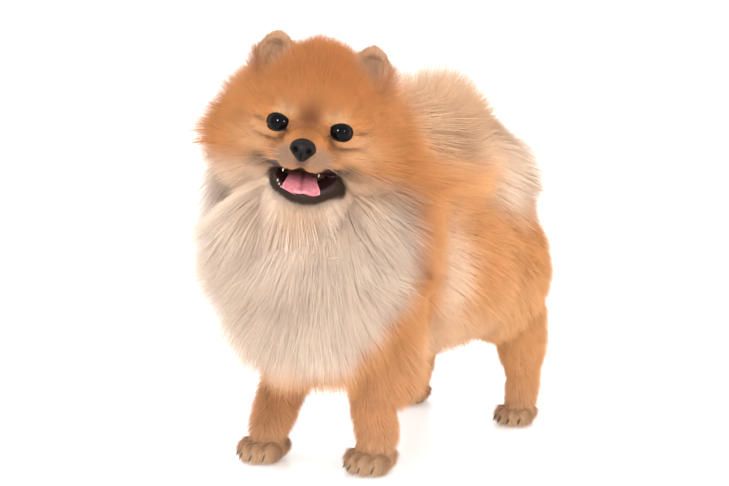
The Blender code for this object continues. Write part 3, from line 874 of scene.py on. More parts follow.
def feed(tree: bpy.types.NodeTree, node: bpy.types.Node, inputs: Values, links: Links) -> None:
    """Set a node's inputs.

    Args:
        tree: The node tree.
        node: The node.
        inputs: Values of input sockets by name or index.
        links: Output sockets to link to input sockets by name or index.
    """
    for key, value in inputs.items():
        node.inputs[key].default_value = value
    for key, socket in links.items():
        tree.links.new(socket, node.inputs[key])


def add_node(
    tree: bpy.types.NodeTree,
    kind: str,
    inputs: Optional[Values] = None,
    links: Optional[Links] = None,
    output: str | int = 0,
    **settings: object,
) -> Socket:
    """Add a shader node with its settings, its input values and its links.

    Args:
        tree: The node tree.
        kind: Blender's name of the node type, after "ShaderNode".
        inputs: Values of input sockets by name or index.
        links: Output sockets to link to input sockets by name or index.
        output: Name or index of the output socket to return.
        settings: Properties of the node itself.

    Returns:
        One of the new node's output sockets.
    """
    node = tree.nodes.new("ShaderNode" + kind)
    for name, value in settings.items():
        setattr(node, name, value)
    feed(tree, node, inputs or {}, links or {})
    return node.outputs[output]


def pattern_scale(size_mm: float) -> float:
    """Scale of a pattern whose grains are this large."""
    return 1 / (size_mm * MM)


Adder = Callable[..., Socket]
Sockets = tuple[Values, Links]
GRAIN_RANGE = {"From Min": 0.3, "From Max": 0.7}  # where most of a noise's values lie


@dataclass(frozen=True)
class Finish:
    """A real material, drawn by its own nodes."""

    name: str

    def sockets(self, add: Adder) -> Sockets:
        """Values and links of the shader, from nodes that add makes."""
        raise NotImplementedError

    def make(self) -> bpy.types.Material:
        """Build the material.

        Returns:
            The material.
        """
        material = bpy.data.materials.new(self.name)
        material.use_nodes = True
        tree = material.node_tree
        feed(tree, tree.nodes["Principled BSDF"], *self.sockets(partial(add_node, tree)))
        return material


@dataclass(frozen=True)
class HairFinish(Finish):
    """Keratin hair: a soft, slightly glossy fibre, painted lighter at its root as fill light
    against the shade deep in the coat.

    The colour of the markings comes with each strand, and a slow mottling in
    tufts of about 18 mm keeps large areas from looking dyed.
    """

    name: str = "keratin_hair"
    painted_root_fill: float = 1.12
    tip_shade: float = 0.97
    spread: float = 0.05
    mottle_mm: float = 18.0

    def sockets(self, add: Adder) -> Sockets:
        """Shade each strand along its length, by its own draw and by its tuft.

        Args:
            add: Makes a node and returns one of its sockets.

        Returns:
            Values and links of the shader's inputs.
        """
        tint = add("Attribute", output="Color", attribute_name="coat_tint")
        strand = add("Attribute", output="Vector", attribute_name="strand")
        part = add("SeparateXYZ", links={0: strand}).node.outputs
        mottle = add(
            "TexNoise",
            {"Scale": pattern_scale(self.mottle_mm), "Detail": 2.0},
            {"Vector": add("TexCoord", output="Object")},
        )
        # painted fill light: the root is painted lighter than the tip to offset the shade deep in
        # the coat
        along = {"To Min": self.painted_root_fill, "To Max": self.tip_shade}
        drawn = {"To Min": 1 - self.spread, "To Max": 1 + self.spread}
        tufts = {**GRAIN_RANGE, "To Min": 0.92, "To Max": 1.04}
        shade = add("MapRange", along, {"Value": part["Y"]})
        for spread, source in ((drawn, part["X"]), (tufts, mottle)):
            other = add("MapRange", spread, {"Value": source})
            shade = add("Math", links={0: shade, 1: other}, operation="MULTIPLY")
        tinted = add("VectorMath", links={"Vector": tint, "Scale": shade}, operation="SCALE")
        values = {"Roughness": 0.62, "Specular IOR Level": 0.15}
        values |= {"Sheen Weight": 0.12, "Sheen Roughness": 0.45}
        return values, {"Base Color": tinted}


@dataclass(frozen=True)
class SkinFinish(Finish):
    """Skin under fur: it carries the markings, and felted undercoat roughens it.

    The undercoat's grain is 1.2 mm, drawn coarser than its real hairs so that
    it shows between the locks.  Lips and mouth are damp and so shine more.
    """

    name: str = "skin_with_undercoat"
    grain_mm: float = 1.2
    relief_mm: float = 0.6
    dry_roughness: float = 0.7
    damp_roughness: float = 0.32

    def sockets(self, add: Adder) -> Sockets:
        """Darken the colour between the undercoat's grains and raise them.

        Args:
            add: Makes a node and returns one of its sockets.

        Returns:
            Values and links of the shader's inputs.
        """
        tint = add("Attribute", output="Color", attribute_name="coat_tint")
        damp = add("Attribute", output="Fac", attribute_name="damp")
        grain = add(
            "TexNoise",
            {"Scale": pattern_scale(self.grain_mm), "Detail": 3.0},
            {"Vector": add("TexCoord", output="Object")},
        )
        shade = add("MapRange", {**GRAIN_RANGE, "To Min": 0.72, "To Max": 1.0}, {"Value": grain})
        dryness = {"To Min": self.dry_roughness, "To Max": self.damp_roughness}
        relief = {"Strength": 0.35, "Distance": self.relief_mm * MM}
        return {"Specular IOR Level": 0.3}, {
            "Base Color": add(
                "VectorMath", links={"Vector": tint, "Scale": shade}, operation="SCALE"
            ),
            "Roughness": add("MapRange", dryness, {"Value": damp}),
            "Normal": add("Bump", relief, {"Height": grain}),
        }


@dataclass(frozen=True)
class WetFinish(Finish):
    """Moist tissue or horn: one colour with soft mottling and a fine relief.

    Args:
        colour: Colour of its lighter clouds.
        deep_colour: Colour of its darker clouds, five grains wide.
        grain_mm: Size of a grain of the relief.
        relief_mm: Height of the grains.
        roughness: Roughness of the tissue.
        coat: How much of a wet film lies on it.
        specular: Level of its gloss.
        pebbled: Whether the grains are pebbles, as on a nose.
        shaded: Whether the attribute shade multiplies its colour: painted shade in hollows, and a
            painted highlight on the tongue's rim.
    """

    colour: str
    deep_colour: str
    grain_mm: float
    relief_mm: float
    roughness: float
    coat: float = 0.0
    specular: float = 0.3
    pebbled: bool = False
    shaded: bool = False

    def sockets(self, add: Adder) -> Sockets:
        """Cloud the colour and raise the grains.

        Args:
            add: Makes a node and returns one of its sockets.

        Returns:
            Values and links of the shader's inputs.
        """
        scale = pattern_scale(self.grain_mm)
        spot = {"Vector": add("TexCoord", output="Object")}
        grain = add("TexVoronoi" if self.pebbled else "TexNoise", {"Scale": scale}, spot)
        cloud = add("TexNoise", {"Scale": scale / 5, "Detail": 3.0}, spot)
        colour = add("ValToRGB", links={"Fac": cloud})
        stops = colour.node.color_ramp.elements
        for stop, place, tone in zip(stops, (0.32, 0.66), (self.deep_colour, self.colour)):
            stop.position, stop.color = place, rgba(tone)
        if self.shaded:
            shade = add("Attribute", output="Fac", attribute_name="shade")
            colour = add("VectorMath", links={"Vector": colour, "Scale": shade}, operation="SCALE")
        relief = {"Strength": 0.6, "Distance": self.relief_mm * MM}
        bump = add("Bump", relief, {"Height": grain}, invert=self.pebbled)
        values = {"Roughness": self.roughness, "Specular IOR Level": self.specular}
        values |= {"Coat Weight": self.coat, "Coat Roughness": 0.08}
        return values, {"Base Color": colour, "Normal": bump}


@dataclass(frozen=True)
class EyeFinish(Finish):
    """Wet cornea over a dark brown iris that looks almost black."""

    name: str = "wet_cornea"
    pupil: str = "#050404"
    iris: str = "#0F0805"
    white: str = "#6E5A50"

    def sockets(self, add: Adder) -> Sockets:
        """Colour the ball by the attribute ring, from the pupil to the white.

        Args:
            add: Makes a node and returns one of its sockets.

        Returns:
            Values and links of the shader's inputs.
        """
        ring = add("Attribute", output="Fac", attribute_name="ring")
        colour = add("ValToRGB", links={"Fac": ring})
        stops = colour.node.color_ramp.elements
        stops[0].position, stops[0].color = 0.30, rgba(self.pupil)
        stops[1].position, stops[1].color = 1.0, rgba(self.white)
        for place, tone in ((0.42, self.iris), (0.72, self.iris), (0.78, self.pupil)):
            stops.new(place).color = rgba(tone)
        values = {"Roughness": 0.04, "IOR": 1.376, "Specular IOR Level": 0.16}
        return values, {"Base Color": colour}


@dataclass(frozen=True)
class FloorFinish(Finish):
    """Seamless pale studio board with a faint polish, uneven over about 330 mm."""

    name: str = "pale_studio_board"
    colour: str = "#FFFFFF"
    roughness: float = 0.22
    glow: float = 0.25

    def sockets(self, add: Adder) -> Sockets:
        """Vary the polish slowly.

        Args:
            add: Makes a node and returns one of its sockets.

        Returns:
            Values and links of the shader's inputs.
        """
        grain = add(
            "TexNoise", {"Scale": 3.0, "Detail": 2.0}, {"Vector": add("TexCoord", output="Object")}
        )
        polish = {"To Min": self.roughness, "To Max": self.roughness + 0.05}
        values = {"Base Color": rgba(self.colour), "Emission Color": rgba(self.colour)}
        values |= {"Specular IOR Level": 0.35, "Emission Strength": self.glow}
        return values, {"Roughness": add("MapRange", polish, {"Value": grain})}


# ---- markings


@dataclass(frozen=True)
class Marking:
    """A soft patch of colour round a place, or on both sides of the body."""

    centre: Point
    radii: Point
    colour: str
    strength: float
    softness: float = 0.6
    on_head: bool = True
    paired: bool = True

    def paint(self, points: Array, colours: Array) -> Array:
        """Lay the patch over colours.

        Args:
            points: Where the colours are.
            colours: The linear colours so far.

        Returns:
            The colours with the patch.
        """
        for sign in SIDES.values() if self.paired else (1,):
            patch = Mass((sign * self.centre[0], *self.centre[1:]), self.radii, self.on_head)
            away = np.linalg.norm(patch.local(points), axis=1)
            cover = self.strength * (1 - ease(away, 1 - self.softness, 1 + self.softness))
            colours = blend(colours, linear(self.colour), cover)
        return colours


MARKINGS = (
    Marking((80, -18, 142), (30, 15, 50), "#F0D0B2", 0.95, 0.7, False),  # flank
    Marking((50, 0, 86), (60, 60, 22), "#E8C29E", 0.8, 0.6, False),  # belly
    Marking((40, 24, 270), (60, 54, 48), "#F3D3B2", 0.9, 0.8, False, False),  # plume
    Marking((78, 62, 108), (30, 30, 26), "#E9B582", 0.6, 0.7, False),  # haunch
    Marking((0, -4, 42), (46, 34, 28), "#B56831", 0.7, 0.7, paired=False),  # crown
    Marking((0, -43, 8), (9.0, 15, 12), "#66300F", 0.75, 0.85, paired=False),  # stop
    Marking((3, -40, -66), (32, 26, 16), "#C69A74", 0.75, 0.8, paired=False),  # painted shadow of the head on chin and throat
    Marking((40, -28, -9), (18, 20, 13), "#DDAA7C", 0.8, 0.7),  # under the eyes
    Marking((19, -37, 12.5), (9.0, 10, 4.5), "#E3B88A", 0.65, 0.7),  # brows
    Marking((16.5, -37, 16.5), (3.6, 8, 2.0), "#6E4A2B", 0.4),  # brows' upper edge
    Marking((16, -38, -1), (3.4, 9, 4.5), "#5A3018", 0.75),  # inner corners
    Marking((19, -42, -7), (3.4, 9, 4.5), "#6B3F22", 0.6),  # tear lines
    Marking((23, -40, -14), (4.0, 9, 4.0), "#7A4A28", 0.45),  # tear lines' ends
    Marking((38, -24, 4), (9.0, 12, 1.8), "#7A4626", 0.5),  # outer corners
    Marking((0, -50, -3), (8, 16, 7), "#B5733F", 0.6, paired=False),  # bridge
    Marking((11, -56, -18), (12, 12, 9), "#9C806C", 0.8),  # upper lips
    Marking((0, -64, -21), (4.5, 10, 6), "#5B4740", 0.8, paired=False),  # under the nose
    Marking((32, -30, -26.5), (10, 14, 7), "#3A2820", 0.9, 0.7),  # mouth's corners: dark lip skin, with painted shade in the crease beyond
    Marking((50, -8, -30), (30, 22, 8), "#B06C38", 0.45, 0.8),  # creases of the cheeks
    Marking((48, -12, -42), (30, 28, 15), "#E3BD9A", 0.75, 0.85),  # cheeks: tan between orange and cream, with painted fill light on the shaded hollow below
    Marking((66, 6, 6), (26, 26, 34), "#C98449", 0.4, 0.7),  # temples
    Marking((36, -2, 58), (15, 12, 14), "#D0A582", 0.8, 0.5),  # ears
    Marking((36, -6, 50), (8, 6, 13), "#9A7058", 0.45),  # ears' hollows
)


# ---- the coat's areas


class Region(Enum):
    """The areas of the coat."""

    HEAD = "head"
    EARS = "ears"
    NECK = "ruff"
    TRUNK = "torso"
    HAUNCH = "haunches"
    TAIL = "plume"
    FORELEG = "forelegs"
    HINDLEG = "hindlegs"
    PAW = "paws"


LEGS = (Region.FORELEG, Region.HINDLEG, Region.PAW)
Lie = Callable[[Array], Array]


def steady(x: float, y: float, z: float) -> Lie:
    """A lie that is the same all over an area."""
    return lambda points: np.broadcast_to(np.array((x, y, z), float), points.shape)


def off_head(points: Array) -> Array:
    """The lie on neck and chest: down and back, and off the head near it.

    Args:
        points: Points of the animal's frame, one per row.

    Returns:
        One direction per point.
    """
    offset = points - np.array(HEAD_PLACE)
    near = 1 - ease(np.linalg.norm(offset, axis=1), 45, 95)
    lie = unit(np.broadcast_to(np.array((0, 0.4, -0.8)), points.shape))
    return unit(lie + 1.1 * near[:, None] * unit(offset))


def away_from_nose(points: Array) -> Array:
    """The lie on the head: back from the nose, round the eyes and up at the ears.

    Args:
        points: Points of the animal's frame, one per row.

    Returns:
        One direction per point.
    """
    lie = unit(points - HEAD.out(np.array(NOSE_PLACE)))
    spot = HEAD.into(points)
    crown = ease(spot[:, 2], 22, 46)[:, None]
    lie = unit(lie + 0.9 * crown * HEAD.axes()[:, 2])
    for eye in EYES.values():
        offset = points - eye.middle
        near = 1 - ease(np.linalg.norm(offset, axis=1), 10, 16)
        lie = unit(blend(lie, unit(offset), 0.5 * near))
    lie = unit(blend(lie, off_head(points), ease(below_bite(points), 10, 22)))
    return unit(lie + ease(spot[:, 1], 0, 26)[:, None] * np.array((0, 0.2, -1.3)))


def off_tail(points: Array) -> Array:
    """The lie on the tail: out to both sides, back and down."""
    base = ease(points[:, 1], 80, 110)
    return np.stack([points[:, 0] / 33, np.full(len(points), 0.55), -0.35 - 0.6 * base], axis=1)


def up_the_ear(points: Array) -> Array:
    """The lie on the ears: to their tips."""
    return np.broadcast_to(HEAD.axes()[:, 2], points.shape)


@dataclass(frozen=True)
class CoatArea:
    """How the coat grows in one region.

    Args:
        region: Which region it is.
        flesh: Masses that it grows on.
        outline: Masses whose surface the tips reach, none for a coat of one length.
        longest: Length that no hair passes.
        least: Length of the hair where the outline is near or lower.
        lie: Which way the hairs lie.
        stand: How far they stand off the skin at the root, 0 flat and 1 upright.
        tip_stand: The same at the tip.
        droop: How far tips hang.
        per_mm2: Hairs to a square millimetre of skin.
        width: Width of a strand.
        clump: How far strands gather towards the tip of their tuft.
        colour: Ground colour at the roots.
        tip_colour: Ground colour at the tips.
        slot: Name of a slot for its finish, handed on to dress.
    """

    region: Region
    flesh: tuple[Mass | Limb, ...]
    outline: tuple[Mass, ...]
    longest: float
    least: float
    lie: Lie
    stand: float
    tip_stand: float
    droop: float
    per_mm2: float
    width: float
    clump: float
    colour: str
    tip_colour: str
    slot: str = "coat_orange"

    def distance(self, points: Array) -> Array:
        """How far points lie from the flesh of the area."""
        return np.min([form.distance(points) for form in self.flesh], axis=0)

    def reach(self, points: Array, direction: Array) -> Array:
        """How long a hair may be before it leaves the outline.

        Args:
            points: The roots.
            direction: The way each hair grows.

        Returns:
            One length per root.
        """
        if not self.outline:
            return np.full(len(points), self.longest)
        spans = [mass.span(points, direction) for mass in self.outline]
        end = np.zeros(len(points))
        for _ in self.outline:
            for near, far in spans:
                end = np.where(near <= end, np.maximum(end, far), end)
        return np.clip(end, self.least, self.longest)


AREAS = (
    CoatArea(Region.HEAD, SKULL_FLESH + JAW_FLESH, (CHEEKS, CROWN, TOPKNOT, RUFF), 74, 2.0,
             away_from_nose, 0.8, 0.6, 0.0, 3.4, 0.28, 0.14, "#BE7639", "#CE8C54"),
    CoatArea(Region.EARS, EAR_FLESH, (), 17, 17, up_the_ear,
             0.45, 0.35, 0.0, 4.0, 0.24, 0.1, "#CE9C74", "#DDB08A"),
    CoatArea(Region.NECK, NECK_FLESH, (RUFF, CHEST, NAPE, CREST), 105, 2.0, off_head,
             0.62, 0.4, 0.04, 4.3, 0.28, 0.06, "#D08A4A", "#E0A268"),
    CoatArea(Region.TRUNK, TRUNK_FLESH, (BACK, RUMP, RUFF, CHEST, NAPE, CREST), 75, 2.0,
             steady(0, 0.75, -0.66), 0.6, 0.34, 0.06, 1.6, 0.32, 0.14, "#CD864C", "#DDA068"),
    CoatArea(Region.HAUNCH, HAUNCH_FLESH, (BACK, RUMP, *THIGHS), 62, 2.0,
             steady(0, 0.45, -0.9), 0.58, 0.34, 0.06, 1.7, 0.32, 0.14, "#CF8A4E", "#E0A46A"),
    CoatArea(Region.TAIL, TAIL_FLESH, (PLUME, PLUME_TOP, PLUME_FALL, PLUME_ROOT), 110, 2.0,
             off_tail, 0.82, 0.7, 0.1, 3.0, 0.3, 0.14, "#E4B286", "#F4E2CE", "coat_cream"),
    CoatArea(Region.FORELEG, FORELEG_FLESH, ELBOWS, 52, 15.0, steady(0, 0.45, -0.9),
             0.46, 0.26, 0.1, 2.2, 0.32, 0.16, "#C0824E", "#D9A071"),
    CoatArea(Region.HINDLEG, HINDLEG_FLESH, HOCKS, 34, 12.0, steady(0, 0.45, -0.9),
             0.46, 0.26, 0.1, 2.2, 0.32, 0.16, "#CE9058", "#E0A672"),
    CoatArea(Region.PAW, PAW_FLESH, (), 4.5, 4.5, steady(0, -0.7, -0.7),
             0.3, 0.15, 0.0, 3.6, 0.28, 0.1, "#C6A280", "#D8B896", "paw"),
)


@dataclass
class Growth:
    """What the coat does at a set of roots, mixed over neighbouring areas.

    Args:
        points: The roots.
        softness: How many millimetres wide the areas blend.
        bias: How strongly the neck's cuts part the areas of head and ruff.
    """

    points: Array
    softness: float = 8.0
    bias: float = 3.0
    weights: Array = field(init=False)

    def __post_init__(self) -> None:
        """Weigh the areas by how near their flesh is."""
        gaps = np.stack([area.distance(self.points) for area in AREAS], axis=1)
        beyond = np.minimum(HEAD_NECK.height(self.points), HEAD_THROAT.height(self.points))
        gaps[:, self.columns(Region.HEAD)[0]] += self.bias * np.maximum(-beyond, 0)
        gaps[:, self.columns(Region.NECK)[0]] += self.bias * np.maximum(beyond, 0)
        nearest = gaps.min(axis=1, keepdims=True)
        self.weights = np.exp(-(gaps - nearest) / self.softness)
        self.weights /= self.weights.sum(axis=1, keepdims=True)

    def columns(self, *regions: Region) -> list[int]:
        """Columns of regions among the weights."""
        return [list(Region).index(region) for region in regions]

    def take(self, rows: Array) -> "Growth":
        """The same for some of the roots.

        Args:
            rows: Which of the roots.

        Returns:
            The growth at those roots.
        """
        part = copy(self)
        part.points, part.weights = self.points[rows], self.weights[rows]
        return part

    def mixed(self, name: str) -> Array:
        """A number of the areas, mixed for each root."""
        return self.weights @ np.array([getattr(area, name) for area in AREAS], float)

    def share(self, *regions: Region) -> Array:
        """How far each root belongs to some regions, 0 to 1."""
        return self.weights[:, self.columns(*regions)].sum(axis=1)

    def mane(self) -> Array:
        """How far roots are out of the short-haired face, 0 to 1.

        Returns:
            One share per root.
        """
        x, y, z = HEAD.into(self.points).T
        side = ease(np.abs(x), 20, 54) * ease(y, -46, -28)
        chin = ease(below_bite(self.points), 8, 17) * ease(-z, 30, 40)
        mane = np.max([side, ease(y, -34, 14), ease(z, 6, 52), chin], axis=0)
        return blend(1.0, mane, self.share(Region.HEAD))

    def fluff(self) -> Array:
        """How far roots are in the long coat, 0 to 1."""
        return self.mane() * (1 - self.share(Region.EARS, *LEGS))

    def colours(self, seen: Optional[Array] = None, tip: float = 0.0) -> Array:
        """Colour of the coat with its markings, painted shadow under the head and painted fill
        light under the cheeks.

        Args:
            seen: Where the coloured parts of the hairs are, the roots if none.
            tip: How far along the hairs they are.

        Returns:
            One linear colour per root.
        """
        seen = self.points if seen is None else seen
        grounds = np.array([blend(linear(a.colour), linear(a.tip_colour), tip) for a in AREAS])
        cream = blend(linear(CREAM_ROOT), linear(CREAM_TIP), tip)
        cover = chest_front(seen) * (1 - self.share(*LEGS))
        colours = blend(self.weights @ grounds, cream, cover)
        for marking in MARKINGS:
            colours = marking.paint(seen, colours)
        return blend(colours, linear(DARK_LIP), muzzle_dark(self.points))


# ---- skin


@dataclass
class Skin:
    """The one skin of the animal, under its coat.

    Args:
        ground: Where the animal stands.
        voxel: Size of a face of the skin.
        coarse: Size of a face of the trunk before the head is set on.
        fine: Size of a face of the head before it is set on.
        most_triangles: Limit of the skin's triangles.
        shade: How much darker the skin is than the hair on it.
        replaced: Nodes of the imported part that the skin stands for.
        paired: More of them, each with a left and a right one.
    """

    ground: Ground
    voxel: float = 1.35
    coarse: float = 2.5
    fine: float = 1.2
    most_triangles: int = 190000
    shade: float = 0.8
    replaced: tuple[str, ...] = (
        "head", "lower_jaw", "ear_left", "ear_right", "neck_ruff", "torso", "tail"
    )
    paired: tuple[str, ...] = ("haunch", "shank", "hindpaw", "foreleg", "forepaw")
    item: Thing = field(init=False)
    verts: Array = field(init=False)
    normals: Array = field(init=False)
    faces: Array = field(init=False)
    patches: Array = field(init=False)

    def build(self) -> None:
        """Fuse the flesh, open the mouth, set the unwrap and dress the skin."""
        body = fleshed("skin", TRUNK_FLESH + HAUNCH_FLESH + NECK_FLESH + TAIL_FLESH)
        fuse(body, self.coarse, 6)
        legs = fleshed("legs", FORELEG_FLESH + HINDLEG_FLESH + PAW_FLESH)
        fuse(legs, self.voxel, 2)
        self.item = joined([body, legs, self.head()])
        fuse(self.item, self.voxel, 3)
        thin = min(1.0, self.most_triangles / (2 * len(self.item.data.polygons)))
        modify(self.item, DECIMATE={"ratio": thin})
        self.verts = taken(self.item.data.vertices, "co", 3)
        self.set_lids()
        self.stand()
        self.unwrap()
        self.finish()

    def head(self) -> Thing:
        """The head with its open mouth and cupped ears.

        Returns:
            The head in millimetres, open at the neck.
        """
        head = fleshed("head_flesh", SKULL_FLESH + JAW_FLESH)
        fuse(head, self.fine, 16)
        carve(head, [block(MOUTH_ROOF, MOUTH_FLOOR.over(), *MOUTH_SIDES)])
        carve(head, [fleshed("hollow", [THROAT_HOLLOW])])
        head = joined([head, fleshed("lips_and_ears", UPPER_LIPS + EAR_FLESH)])
        fuse(head, self.fine, 8)
        carve(head, [fleshed("cup", [cup]) for cup in EAR_CUPS])
        for cut in (HEAD_NECK, HEAD_THROAT):
            carve(head, [block(cut.over())])
        return head

    def set_lids(self) -> None:
        """Draw the skin over each eyeball and open it inside the lids."""
        for eye in EYES.values():
            past, radius, direction = eye.past(self.verts)
            polar = np.arccos(np.clip(direction @ eye.gaze, -1, 1))
            near = (radius < 16) & (np.degrees(polar) < 100)
            lid = 8.6 + 1.7 * ease(past, 0.0, 7.0)
            hold = 1 - ease(past, 22.0, 52.0)
            wanted = lid + np.maximum(radius - lid, 0) * ease(past, 3.0, 24.0)
            moved = eye.middle + direction * (radius + (wanted - radius) * hold)[:, None]
            self.verts = np.where(near[:, None], moved, self.verts)

    def stand(self) -> None:
        """Set nothing below the floor, and turn millimetres to the row frame."""
        self.verts[:, 2] = np.maximum(self.verts[:, 2], 0.2)
        mesh = self.item.data
        mesh.vertices.foreach_set("co", self.ground.row(self.verts).astype(np.float32).ravel())
        mesh.shade_smooth()
        mesh.update()
        self.normals = taken(mesh.vertices, "normal", 3)

    def unwrap(self) -> None:
        """Unwrap the skin by the way its faces look, and keep each triangle's patch."""
        mesh = self.item.data
        bpy.context.view_layer.objects.active = self.item
        self.item.select_set(True)
        mesh.uv_layers.new(name="OFBake")
        bpy.ops.object.mode_set(mode="EDIT")
        bpy.ops.mesh.select_all(action="SELECT")
        bpy.ops.uv.smart_project(angle_limit=math.radians(80), island_margin=0.002)
        bpy.ops.object.mode_set(mode="OBJECT")
        mesh.calc_loop_triangles()
        self.faces = taken(mesh.loop_triangles, "vertices", 3, np.int32)
        uv = taken(mesh.uv_layers["OFBake"].data, "uv", 2, np.float32)
        self.patches = uv[taken(mesh.loop_triangles, "loops", 3, np.int32)]

    def finish(self) -> None:
        """Give the skin its markings, its damp parts and its material."""
        inside = mouth_depth(self.verts)
        colours = Growth(self.verts).colours() * self.shade
        mesh = self.item.data
        store(mesh, "coat_tint", Layer.COLOUR, blend(colours, linear(MOUTH_LINING), inside))
        store(mesh, "damp", Layer.NUMBER, np.maximum(inside, 0.8 * muzzle_dark(self.verts)))
        dress(self.item, SkinFinish().make(), "coat_orange")
        pairs = [f"{part}_{side}" for part in self.paired for side in SIDES]
        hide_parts(*self.replaced, *pairs)


# ---- coat


class Strand(Enum):
    """Kinds of strand: places along them in thirds, with the share of the width there."""

    GUARD = ((0, 0.8), (1.5, 0.81))
    FINE = ((0, 1.0),)


STRAND_FACES = {Strand.GUARD: ((0, 1, 3), (0, 3, 2), (2, 3, 4)), Strand.FINE: ((0, 1, 2),)}


def uneven(points: Array) -> Array:
    """A slow wave over the coat that parts it in locks, -1 to 1."""
    x, y, z = points.T
    return np.sin(x / 4.3 + 1.4 * np.sin(z / 8.0)) * np.sin(y / 5.1 + z / 4.7 + np.sin(x / 9.0))


def bounded(draw: np.random.Generator, spread: float, shape: tuple[int, ...]) -> Array:
    """Normal draws without the far ones."""
    return np.clip(draw.normal(0, spread, shape), -1.8 * spread, 1.8 * spread)


